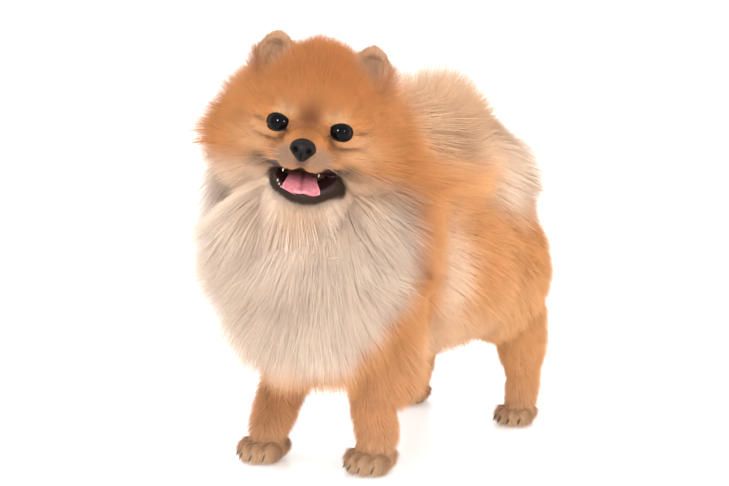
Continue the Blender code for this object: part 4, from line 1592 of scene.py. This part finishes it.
@dataclass
class Coat:
    """Fine tapered strands over the skin, gathered in tufts.

    Args:
        skin: The skin that they grow on.
        ground: Where the animal stands.
        packed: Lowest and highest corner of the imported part, in metres.
        thinning: Share of the strands that are grown.
        tufts: How many tufts they gather in.
        sink: Greatest depth of a root under the skin.
        surplus: How far tips pass the outline, as a factor.
        roll: How far strands turn about their own line, in radians.
        jitter: How unevenly they lie.
        sway: How far they bend aside, as a share of their length.
        short: Length under which every strand is a fine one.
        face: How much denser the face is than the rest of the head.
    """

    skin: Skin
    ground: Ground
    packed: Sequence[Sequence[float]]
    thinning: float = 1.0
    tufts: int = 14000
    sink: float = 1.0
    surplus: float = 1.16
    roll: float = 0.55
    jitter: float = 0.15
    sway: float = 0.05
    short: float = 10.0
    face: float = 2.2
    roots: Array = field(init=False)
    normals: Array = field(init=False)
    patches: Array = field(init=False)
    growth: Growth = field(init=False)
    draw: np.random.Generator = field(init=False)

    def build(self) -> None:
        """Grow the coat and make its pieces, area by area."""
        self.draw = np.random.default_rng(SEED)
        self.sow()
        self.growth = Growth(self.roots)
        course, length = self.courses()
        course = self.held_in(self.gathered(course))
        finish = HairFinish().make()
        owner = self.growth.weights.argmax(axis=1)
        long = length >= self.short
        for index, area in enumerate(AREAS):
            for kind, fits in ((Strand.GUARD, long), (Strand.FINE, ~long)):
                rows = np.flatnonzero((owner == index) & fits)
                rows = rows[np.argsort(self.roots[rows, 0], kind="stable")]
                parts = math.ceil(len(rows) * len(STRAND_FACES[kind]) / PIECE_LIMIT)
                for number, part in enumerate(np.array_split(rows, max(parts, 1))[:parts], 1):
                    name = f"coat_{area.region.value}_{kind.name.lower()}_{number}"
                    dress(self.piece(name, kind, part, course[part]), finish, area.slot)

    def sow(self) -> None:
        """Draw the roots over the skin by each area's density."""
        corners = self.skin.verts[self.skin.faces]
        sides = corners[:, 1:] - corners[:, :1]
        normal = np.cross(sides[:, 0], sides[:, 1])
        middle = corners.mean(axis=1)
        growth = Growth(middle)
        density = growth.mixed("per_mm2")
        density *= 1 + self.face * growth.share(Region.HEAD) * (1 - growth.mane())
        density *= self.bare(middle, unit(normal))
        share = np.linalg.norm(normal, axis=1) / 2 * density
        count = int(self.thinning * share.sum())
        picked = self.draw.choice(len(share), size=count, p=share / share.sum())
        u, v = np.sort(self.draw.random((2, count)), axis=0)
        weights = np.stack([u, v - u, 1 - v], axis=1)[:, :, None]
        self.roots = (corners[picked] * weights).sum(axis=1)
        smooth = self.skin.normals[self.skin.faces[picked]]
        self.normals = unit((smooth * weights).sum(axis=1))
        self.patches = (self.skin.patches[picked] * weights).sum(axis=1)

    def bare(self, points: Array, normals: Array) -> Array:
        """Find where no hair grows: eyes, nose, lips, mouth and soles.

        Args:
            points: Points on the skin.
            normals: The way the skin faces there.

        Returns:
            0 at bare points and 1 at others, soft between.
        """
        keep = ease(Mass(NOSE_PLACE, NOSE_RADII, True).distance(points), 0.5, 1.5)
        keep *= 1 - ease(mouth_depth(points), 0.1, 0.5)
        for eye in EYES.values():
            past, radius, _ = eye.past(points)
            keep *= np.where(radius < 14, ease(past, 1.5, 3.5), 1.0)
        sole = (points[:, 2] < 3.0) & (normals[:, 2] < -0.5)
        return np.where(sole, 0.0, keep)

    def courses(self) -> tuple[Array, Array]:
        """Lay out every strand.

        Returns:
            Four points along each, from root to tip, and its length.
        """
        growth, normals, count = self.growth, self.normals, len(self.roots)
        lies = np.stack([area.lie(self.roots) for area in AREAS], axis=1)
        lie = (lies * growth.weights[:, :, None]).sum(axis=1)
        lie = across(lie + bounded(self.draw, self.jitter, (count, 3)), normals)
        mane = growth.mane() ** 0.7
        first = unit(blend(lie, normals, growth.mixed("stand") * (0.35 + 0.65 * mane)))
        last = blend(lie, normals, growth.mixed("tip_stand") * (0.3 + 0.7 * mane))
        last[:, 2] -= growth.mixed("droop")
        steps = [unit(blend(first, unit(last), share)) for share in (1 / 6, 0.5, 5 / 6)]
        length = self.lengths(unit(sum(steps) / 3))
        points = [self.roots - normals * np.minimum(self.sink, 0.06 * length)[:, None]]
        for step in steps:
            points.append(points[-1] + step * (length / 3)[:, None])
        course = np.stack(points, axis=1)
        aside = bounded(self.draw, self.sway, (count, 3)) * length[:, None]
        course += np.array((0, 0.1, -0.25, 0.8))[None, :, None] * aside[:, None]
        course[:, :, 2] = np.maximum(course[:, :, 2], 0.4)
        return course, length

    def lengths(self, ahead: Array) -> Array:
        """How long strands grow: to the outline, short on face, ears and lower legs.

        Args:
            ahead: The way each strand grows.

        Returns:
            One length per strand, with a few much shorter and a few longer ones.
        """
        growth, count = self.growth, len(self.roots)
        reaches = np.stack([area.reach(self.roots, ahead) for area in AREAS], axis=1)
        full = (reaches * growth.weights).sum(axis=1)
        x, y, z = HEAD.into(self.roots).T
        aside = ease(np.abs(x), 20, 42) * ease(y, -50, -30)
        short = 2.6 + 5.0 * ease(y, -58, -14) + 10.0 * np.maximum(ease(z, 10, 34), aside)
        length = blend(short, full * self.surplus, growth.mane() ** 1.2)
        length *= 1 + 0.12 * growth.fluff() * uneven(self.roots)
        length *= 1 - 0.7 * self.draw.random(count) ** 2.8
        length *= np.where(self.draw.random(count) < 0.05, 1.08, 1.0)
        length *= blend(1.0, 0.2 + 0.8 * (1 - ease(z, 38, 58)), growth.share(Region.EARS))
        low = self.roots[:, 2]
        return np.where(low < 60, np.minimum(length, 4 + 0.32 * low), length)

    def gathered(self, course: Array) -> Array:
        """Pull strands towards a leader near them, more at the tips.

        Args:
            course: Four points along each strand.

        Returns:
            The courses in their tufts.
        """
        roots = self.roots
        leaders = self.draw.choice(len(roots), size=min(self.tufts, len(roots)), replace=False)
        tree = KDTree(len(leaders))
        for row, leader in enumerate(leaders):
            tree.insert(roots[leader], row)
        tree.balance()
        lead = leaders[np.array([tree.find(root)[1] for root in roots])]
        pull = self.growth.mixed("clump") * self.draw.uniform(0.4, 1.4, len(roots))
        pull *= 1 - ease(np.linalg.norm(roots - roots[lead], axis=1), 6, 14)
        shares = np.array((0.0, 0.25, 0.65, 1.0))
        return course + (course[lead] - course) * (pull[:, None] * shares)[:, :, None]

    def held_in(self, course: Array) -> Array:
        """Shorten the strands that would cross an eye or leave the room round the part.

        Args:
            course: Four points along each strand.

        Returns:
            The courses, some shortened.
        """
        root = course[:, :1]
        for eye in EYES.values():
            for station in (2, 3):
                past, radius, _ = eye.past(course[:, station])
                over = (past < 3) & (radius < 20)
                course[over] = root[over] + (course[over] - root[over]) * 0.25
        low, high = np.array(self.packed)
        margin = HAIR_MARGIN[0] * (high - low) + HAIR_MARGIN[1]
        start = self.ground.row(course[:, 0])
        step = self.ground.row(course[:, 3]) - start
        step = np.where(np.abs(step) < 1e-9, 1e-9, step)
        limit = np.where(step > 0, high + margin, low - margin)
        share = np.clip((limit - start) / step, 0, 1).min(axis=1)
        return root + (course - root) * share[:, None, None]

    def piece(self, name: str, kind: Strand, rows: Array, line: Array) -> Thing:
        """Turn strands into one mesh with its colours, normals and patches.

        Args:
            name: Name of the piece.
            kind: The strands' kind.
            rows: Which of the strands they are.
            line: Their courses.

        Returns:
            The piece.
        """
        joints, count, root = len(kind.value), len(rows), self.growth.take(rows)
        points = 2 * joints + 1
        line_span = line[:, 3] - line[:, 0]
        ahead = unit(line_span)
        coat = unit(outward(line[:, 3]) + 0.2 * ahead)
        wanted = blend(unit(self.normals[rows] + 0.4 * ahead), coat, 0.3 + 0.6 * root.fluff())
        up = across(wanted, ahead)
        angle = self.draw.uniform(-self.roll, self.roll, count)[:, None]
        side = unit(np.cross(ahead, up) * np.cos(angle) + up * np.sin(angle))
        wide = self.growth.mixed("width")[rows] * self.draw.uniform(0.7, 1.3, count)
        wide = np.minimum(wide, 0.05 + np.linalg.norm(line_span, axis=1) * 0.07)
        verts, colours = np.empty((2, count, points, 3))
        along = np.ones(points)
        for ring, (station, share) in enumerate(kind.value):
            low, part = int(station), station % 1
            middle = line[:, low] * (1 - part) + line[:, low + 1] * part
            offset = side * (wide * share / 2)[:, None]
            pair = slice(2 * ring, 2 * ring + 2)
            verts[:, pair] = np.stack([middle - offset, middle + offset], axis=1)
            colours[:, pair] = root.colours(verts[:, 2 * ring], station / 3)[:, None]
            along[pair] = station / 3
        verts[:, -1] = line[:, 3]
        colours[:, -1] = root.colours(line[:, 3], 1.0)
        pattern = np.array(STRAND_FACES[kind])
        faces = (pattern[None] + points * np.arange(count)[:, None, None]).reshape(-1, 3)
        item = array_object(name, self.ground.row(verts.reshape(-1, 3)), faces)
        mesh = item.data
        shade = np.repeat(unit(up + 0.35 * wanted), points, axis=0)
        store(mesh, "custom_normal", Layer.VECTOR, shade)
        store(mesh, "coat_tint", Layer.COLOUR, colours.reshape(-1, 3))
        strand = np.zeros((count, points, 3))
        strand[:, :, 0], strand[:, :, 1] = self.draw.random(count)[:, None], along
        store(mesh, "strand", Layer.VECTOR, strand)
        square = np.stack([np.append(np.tile((0.0, 1.0), joints), 0.5), along], axis=1)
        patch = self.patches[rows][:, None, :] + PATCH * (square - 0.5)
        corners = np.clip(patch.reshape(-1, 2)[faces.ravel()], 0, 1)
        uv = mesh.uv_layers.new(name="OFBake")
        uv.data.foreach_set("uv", corners.astype(np.float32).ravel())
        return item


# ---- face and claws


@dataclass
class Eyes:
    """The two eyes and the dark rims of their lids.

    Args:
        ground: Where the animal stands.
        segments: Points round a ring.
        rings: Rings of an eyeball.
        bulge: How far the cornea stands out, as a share of the radius.
        rim: Degrees past the lids' edge and distance of the rim's rings.
    """

    ground: Ground
    segments: int = 64
    rings: int = 48
    bulge: float = 0.035
    rim: tuple[tuple[float, float], ...] = (
        (-2.0, 9.2), (-0.8, 9.65), (1.0, 9.95), (3.5, 10.1), (6.0, 10.0), (12.0, 9.3)
    )

    def build(self) -> None:
        """Build both eyes and both pairs of lids."""
        lid = WetFinish("damp_lid_skin", "#140D0B", "#090606", 1.2, 0.12, 0.6, specular=0.15).make()
        cornea = EyeFinish().make()
        for side, frame in EYES.items():
            eye = self.eye(side, frame)
            dress(eye, cornea, "eye")
            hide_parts(f"eye_{side}")
            dress(self.lids(side, frame), lid, "lips")

    def eye(self, side: str, frame: EyeFrame) -> Thing:
        """A ball with a slightly raised cornea, and its ring attribute.

        Args:
            side: Left or right.
            frame: The eye's frame.

        Returns:
            The eyeball.
        """
        polar = np.linspace(0, math.pi, self.rings)[:, None]
        around = np.linspace(0, math.tau, self.segments, endpoint=False)[None, :]
        polar, around = np.broadcast_arrays(polar, around)
        radius = EYE_RADIUS * (1 + self.bulge * np.exp(-((polar / 0.62) ** 4)))
        verts = frame.place(polar, around, radius).reshape(-1, 3)
        faces = ring_faces(self.rings, self.segments)
        item = array_object(f"eyeball_{side}", self.ground.row(verts), faces)
        ring = np.clip(polar.ravel() / math.radians(80), 0, 1)
        store(item.data, "ring", Layer.NUMBER, ring)
        return item

    def lids(self, side: str, frame: EyeFrame) -> Thing:
        """A soft rim round the opening that dips into the skin behind it.

        Args:
            side: Left or right.
            frame: The eye's frame.

        Returns:
            The rim.
        """
        around = np.linspace(0, math.tau, self.segments, endpoint=False)
        edge = frame.edge(around)
        rings = [
            frame.place(np.radians(edge + past), around, np.full(len(around), radius))
            for past, radius in self.rim
        ]
        faces = ring_faces(len(self.rim), self.segments)
        return array_object(f"eyelids_{side}", self.ground.row(np.concatenate(rings)), faces)


def bump(points: Array, centre: Sequence[float], widths: Sequence[float]) -> Array:
    """A bell-shaped bump of height one round a centre."""
    return np.exp(-(((points - np.array(centre)) / np.array(widths)) ** 2).sum(axis=1))


@dataclass
class Nose:
    """Nose leather with nostrils and the groove under it.

    Args:
        ground: Where the animal stands.
        nostril: Middle of the left nostril, from the leather's middle.
        slit: Middle of the slit beside it.
    """

    ground: Ground
    nostril: Point = (4.7, -7.6, -0.4)
    slit: Point = (7.6, -5.5, -2.4)

    def build(self) -> None:
        """Press the nostrils and the groove into a rounded form."""
        bm = bmesh.new()
        bmesh.ops.create_icosphere(bm, subdivisions=6, radius=1.0)
        shape = np.array([vert.co for vert in bm.verts]) * np.array(NOSE_RADII)
        z = shape[:, 2].copy()
        shape[:, 0] *= 1 - 0.36 * ease(-z, 0, 8)
        shape[:, 1] += 1.2 * ease(z, 3, 8)
        shape[:, 2] = np.where(z > 0, z * (1 - 0.12 * ease(z, 3, 8)), z)
        # shade paints shadow into the nostrils, the slits beside them and the groove under the nose
        shade = np.ones(len(shape))
        for sign in SIDES.values():
            hole = bump(shape, (sign * self.nostril[0], *self.nostril[1:]), (1.9, 5, 2.0))
            cut = bump(shape, (sign * self.slit[0], *self.slit[1:]), (2.4, 4, 0.9))
            shape[:, 1] += 4.6 * hole + 2.0 * cut
            shape[:, 0] -= sign * cut
            shade -= 0.85 * hole + 0.4 * cut
        groove = np.exp(-((shape[:, 0] / 0.7) ** 2)) * ease(-shape[:, 2], -1, 3)
        shape[:, 1] += 1.3 * groove * (shape[:, 1] < 0)
        for vert, place in zip(bm.verts, self.ground.row(HEAD.out(shape + np.array(NOSE_PLACE)))):
            vert.co = place
        item = mesh_object("nose_leather", bm)
        item.data.shade_smooth()
        store(item.data, "shade", Layer.NUMBER, np.clip(shade - 0.4 * groove, 0.04, 1))
        finish = WetFinish("nose_leather", "#1E1512", "#110C0B", 0.9, 0.16, 0.5,
                           specular=0.14, pebbled=True, shaded=True)
        dress(item, finish.make(), "nose_leather")
        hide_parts("nose")


@dataclass
class Mouth:
    """Tongue and teeth.

    Args:
        ground: Where the animal stands.
        spine: Places along the tongue's middle in the head's frame.
        half: Half its width at those places.
        thickness: Half its thickness.
        crowns: Root, length, radius and direction of the teeth.
    """

    ground: Ground
    spine: tuple[Point, ...] = (
        (0.5, -20, -31), (0.8, -32, -32), (1.2, -42, -33.8),
        (1.8, -49, -36.6), (2.4, -53.5, -40), (2.8, -56, -43.6),
    )
    half: tuple[float, ...] = (9.0, 9.5, 10.2, 11.6, 13.4, 14.2)
    thickness: float = 2.0
    crowns: tuple[tuple[float, ...], ...] = (
        (13.0, -48.0, -27.0, 3.6, 1.1, -1), (-13.0, -48.0, -27.0, 3.6, 1.1, -1),
        (-15.6, -48.0, -38.2, 2.6, 1.0, 1), (-14.0, -50.5, -40.2, 1.9, 0.8, 1),
        (-12.2, -52.0, -41.6, 1.6, 0.7, 1),
    )

    def build(self) -> None:
        """Build the tongue and the teeth."""
        tongue = WetFinish("wet_tongue", "#DD8890", "#C4707A", 0.8, 0.14, 0.35,
                           coat=0.3, shaded=True)
        enamel = WetFinish("tooth_enamel", "#D8C8AE", "#BFAE92", 1.0, 0.03, 0.2, coat=0.4)
        item = self.tongue()
        dress(item, tongue.make(), "tongue")
        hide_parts("tongue")
        dress(self.teeth(), enamel.make(), "lips")

    def tongue(self) -> Thing:
        """A tongue with a middle groove, rising sides and a rolled front edge.

        Returns:
            The tongue, with its attribute shade.
        """
        steps, around = 56, 64
        knots = np.linspace(0, 1, len(self.spine))
        along = np.linspace(0, 1, steps)
        path = np.stack([np.interp(along, knots, axis) for axis in np.array(self.spine).T], axis=1)
        for _ in range(8):
            path[1:-1] = (path[:-2] + 2 * path[1:-1] + path[2:]) / 4
        ahead = unit(np.gradient(path, axis=0))
        above = unit(np.cross(np.broadcast_to((1.0, 0, 0), ahead.shape), ahead))
        above *= np.sign(above[:, 2:3])
        end = np.clip((along - 0.93) / 0.07, 0, 1)[:, None]
        half = np.interp(along, knots, self.half)[:, None] * np.sqrt(1 - 0.85 * end**2)
        turn = np.linspace(0, math.tau, around, endpoint=False)[None, :]
        along = along[:, None]
        aside, share = np.cos(turn) * half, np.abs(np.cos(turn))
        groove = np.exp(-((aside / 1.4) ** 2)) * (np.sin(turn) > 0)
        height = np.sin(turn) * self.thickness * (1 - 0.7 * end**2)
        height = height + 2.2 * share**3 * (0.3 + 0.7 * along)
        height = height - 1.5 * groove * (1 - 0.5 * along)
        height = height + 1.1 * np.sin(aside * 0.42 + 0.6) * ease(along, 0.6, 1.0)
        points = path[:, None] + height[..., None] * above[:, None]
        points[..., 0] += aside
        verts = self.ground.row(HEAD.out(points.reshape(-1, 3)))
        item = array_object("tongue_flesh", verts, ring_faces(steps, around))
        # Painted shade towards the back of the mouth and in the middle groove, and a painted
        # highlight along the rim and front edge.
        edge = ease(share, 0.8, 1.0) * ease(along, 0.5, 0.8) + ease(along, 0.9, 0.98)
        shade = 0.55 + 0.35 * ease(along, 0.2, 0.8) + 0.3 * np.minimum(edge, 1) - 0.3 * groove
        store(item.data, "shade", Layer.NUMBER, np.broadcast_to(shade, aside.shape))
        return item

    def teeth(self) -> Thing:
        """Upper canines and the few lower teeth beside the tongue.

        Returns:
            The teeth as one piece.
        """
        bm = bmesh.new()
        turn = Matrix(HEAD.axes().tolist()).to_4x4()
        for x, y, z, length, radius, way in self.crowns:
            place = HEAD.out(np.array((x, y, z + way * length / 2)))
            ends = (radius, radius * 0.3)[::way]
            bmesh.ops.create_cone(bm, cap_ends=True, segments=12, radius1=ends[0], radius2=ends[1],
                                  depth=length, matrix=Matrix.Translation(place) @ turn)
        for vert in bm.verts:
            vert.co = self.ground.row(np.array(vert.co))
        item = mesh_object("teeth", bm)
        modify(item, SUBSURF={"levels": 2, "render_levels": 2})
        item.data.shade_smooth()
        return item


def tapered(
    steps: int, corners: int, place: Callable[[float, float], Array]
) -> tuple[Array, Array]:
    """Make a tapered tube.

    Args:
        steps: Rings along it.
        corners: Points of a ring.
        place: A point by its share of the length and its angle round the tube.

    Returns:
        The tube's points and faces.
    """
    verts = [
        place(step / (steps - 1), math.tau * corner / corners)
        for step in range(steps)
        for corner in range(corners)
    ]
    return np.array(verts), ring_faces(steps, corners)


def stacked(tubes: Sequence[tuple[Array, Array]]) -> tuple[Array, Array]:
    """Points and faces of tubes put together.

    Args:
        tubes: Points and faces of each tube, all of one size.

    Returns:
        Points and faces of the whole.
    """
    size = len(tubes[0][0])
    faces = [part + number * size for number, (_, part) in enumerate(tubes)]
    return np.concatenate([verts for verts, _ in tubes]), np.concatenate(faces)


@dataclass
class Claws:
    """Short dark claws in front of the toes.

    Args:
        ground: Where the animal stands.
        length: How far a claw reaches.
        radius: Half its height at the root.
    """

    ground: Ground
    length: float = 7.0
    radius: float = 1.9

    def build(self) -> None:
        """Build the claws of each paw as one piece."""
        horn = WetFinish("claw_horn", "#3A2D27", "#211916", 1.5, 0.08, 0.35, coat=0.2).make()
        for name, places, (width, length, height) in PAWS:
            for side, (x, y) in places.items():
                tubes = []
                for place, forward in TOES:
                    root = np.array((x + place * width, y - forward * length - 1, height * 0.42))
                    end = np.array((place * 2, -self.length, -height * 0.24))
                    tubes.append(tapered(7, 10, partial(self.point, root, end)))
                verts, faces = stacked(tubes)
                item = array_object(f"claws_{name}_{side}", self.ground.row(verts), faces)
                dress(item, horn, "paw")

    def point(self, root: Array, end: Array, share: float, turn: float) -> Array:
        """A point of a claw that bends down.

        Args:
            root: Where the claw starts.
            end: How far its tip is from there.
            share: How far along the claw the point is.
            turn: Its angle round the claw.

        Returns:
            The point.
        """
        radius = self.radius * (1 - 0.9 * share**1.4)
        middle = root + end * np.array((share, share, share**1.6))
        return middle + np.array((math.cos(turn) * 0.75, 0, math.sin(turn))) * radius


@dataclass
class Whiskers:
    """Long stiff hairs on the lips.

    Args:
        ground: Where the animal stands.
        per_side: How many grow on each side.
        width: Width of a whisker at its root.
    """

    ground: Ground
    per_side: int = 12
    width: float = 0.22

    def build(self) -> None:
        """Bend each whisker back from its root as a thin three-sided rod."""
        draw = np.random.default_rng(SEED + 1).uniform
        rods = []
        for sign in SIDES.values():
            for _ in range(self.per_side):
                root = np.array((sign * draw(11, 18), draw(-58, -44), draw(-22, -13)))
                ahead = unit(np.array((sign * 1.0, draw(-0.1, 0.5), draw(-0.35, 0.2))))
                rods.append(tapered(9, 3, partial(self.point, root, ahead, draw(22, 36))))
        verts, faces = stacked(rods)
        item = array_object("whiskers", self.ground.row(HEAD.out(verts)), faces)
        finish = WetFinish("whisker_keratin", "#D9C3AC", "#A88F78", 2.0, 0.01, 0.4)
        dress(item, finish.make(), "coat_cream")

    def point(self, root: Array, ahead: Array, length: float, share: float, turn: float) -> Array:
        """A point of a whisker.

        Args:
            root: Where the whisker starts.
            ahead: Its direction there.
            length: Its length.
            share: How far along the whisker the point is.
            turn: Its angle round the whisker.

        Returns:
            The point.
        """
        bend = np.array((0, 0.35, -0.25)) * share * share
        radius = self.width / 2 * (1 - 0.85 * share)
        middle = root + (ahead * share + bend) * length
        return middle + radius * np.array((0, math.cos(turn), math.sin(turn)))


# ---- studio


class Duty(Enum):
    """What a lamp is for."""

    LIGHT = "light"
    GLINT = "glint"


@dataclass(frozen=True)
class Lamp:
    """A soft square lamp: one lights the coat, or one is only seen as a glint in the eyes."""

    name: str
    place: Point
    side: float
    watts: float
    duty: Duty = Duty.LIGHT

    def build(self, target: Vector) -> None:
        """Set the lamp up, looking at a target in metres.

        Args:
            target: Where the lamp looks.
        """
        light = bpy.data.lights.new(self.name, "AREA")
        light.energy = self.watts
        light.size = self.side
        item = shown(self.name, light)
        item.location = self.place
        item.rotation_euler = (target - item.location).to_track_quat("-Z", "Y").to_euler()
        item.visible_diffuse = self.duty is Duty.LIGHT
        item.visible_glossy = self.duty is Duty.GLINT


@dataclass
class Studio:
    """Pale floor, soft light, and the camera at the photograph's angle.

    Args:
        ground: Where the animal stands.
        eye_point: Where the camera is, in the animal's frame.
        ahead: The way it looks.
        lens: Its focal length in millimetres.
        surround: Strength of the white surround as a light.
        backdrop: Its strength as the camera sees it.
        floor_side: Half the floor's side in metres.
        target: What the lamps look at, in metres.
        lamps: A key near the camera, fills on both sides and behind, and two glints.
    """

    ground: Ground
    eye_point: Point = (818.0, -1066.2, 394.4)
    ahead: Point = (-0.615, 0.7698, -0.1711)
    lens: float = 83.46
    surround: float = 1.3
    backdrop: float = 1.0
    floor_side: float = 14.0
    target: Point = (0.0, -0.06, 0.18)
    lamps: tuple[Lamp, ...] = (
        Lamp("front", (0.8, -1.45, 0.5), 1.8, 12),
        Lamp("right", (1.9, 0.2, 0.9), 1.4, 9),
        Lamp("left", (-1.8, -0.6, 0.8), 1.4, 8),
        Lamp("back", (-0.9, 1.5, 1.0), 1.4, 7),
        Lamp("glint_front", (0.55, -1.6, 0.95), 0.3, 36, Duty.GLINT),
        Lamp("glint_right", (1.9, -0.3, 0.7), 0.16, 9, Duty.GLINT),
    )

    def build(self) -> None:
        """Set floor, world, lamps and camera."""
        self.floor()
        self.world()
        for lamp in self.lamps:
            lamp.build(Vector(self.target))
        self.camera()
        bpy.context.scene.view_settings.view_transform = "Standard"

    def floor(self) -> None:
        """A wide pale board."""
        corners = np.array(((-1, -1, 0), (1, -1, 0), (1, 1, 0), (-1, 1, 0)), float)
        item = array_object("floor", corners * self.floor_side, np.array(((0, 1, 2, 3),)))
        item.data.materials.append(FloorFinish().make())
        item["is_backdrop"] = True

    def world(self) -> None:
        """A white surround, weaker as a backdrop than as a light."""
        world = bpy.data.worlds.new("white_surround")
        world.use_nodes = True
        tree = world.node_tree
        seen = add_node(tree, "LightPath", output="Is Camera Ray")
        spread = {"To Min": self.surround, "To Max": self.backdrop}
        strength = add_node(tree, "MapRange", spread, {"Value": seen})
        white = {"Color": (1, 1, 1, 1)}
        feed(tree, tree.nodes["Background"], white, {"Strength": strength})
        bpy.context.scene.world = world

    def camera(self) -> None:
        """The camera that matches the photograph."""
        lens = bpy.data.cameras.new("camera")
        lens.lens = self.lens
        lens.sensor_width = 36.0
        lens.clip_start = 0.01
        item = shown("camera", lens)
        item.location = self.ground.row(np.array(self.eye_point))
        item.rotation_euler = Vector(self.ahead).to_track_quat("-Z", "Y").to_euler()
        bpy.context.scene.camera = item


def main() -> None:
    """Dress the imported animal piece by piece."""
    logging.basicConfig(level=logging.INFO, format="%(message)s")
    remove(list(bpy.data.objects))
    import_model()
    packed = [list(corner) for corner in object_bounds()]
    ground = Ground.measured()
    skin = Skin(ground)
    coat = Coat(skin, ground, packed, 1.0)
    for part in (skin, coat, Eyes(ground), Nose(ground), Mouth(ground), Claws(ground),
                 Whiskers(ground), Studio(ground)):
        part.build()


if __name__ == "__main__":
    main()
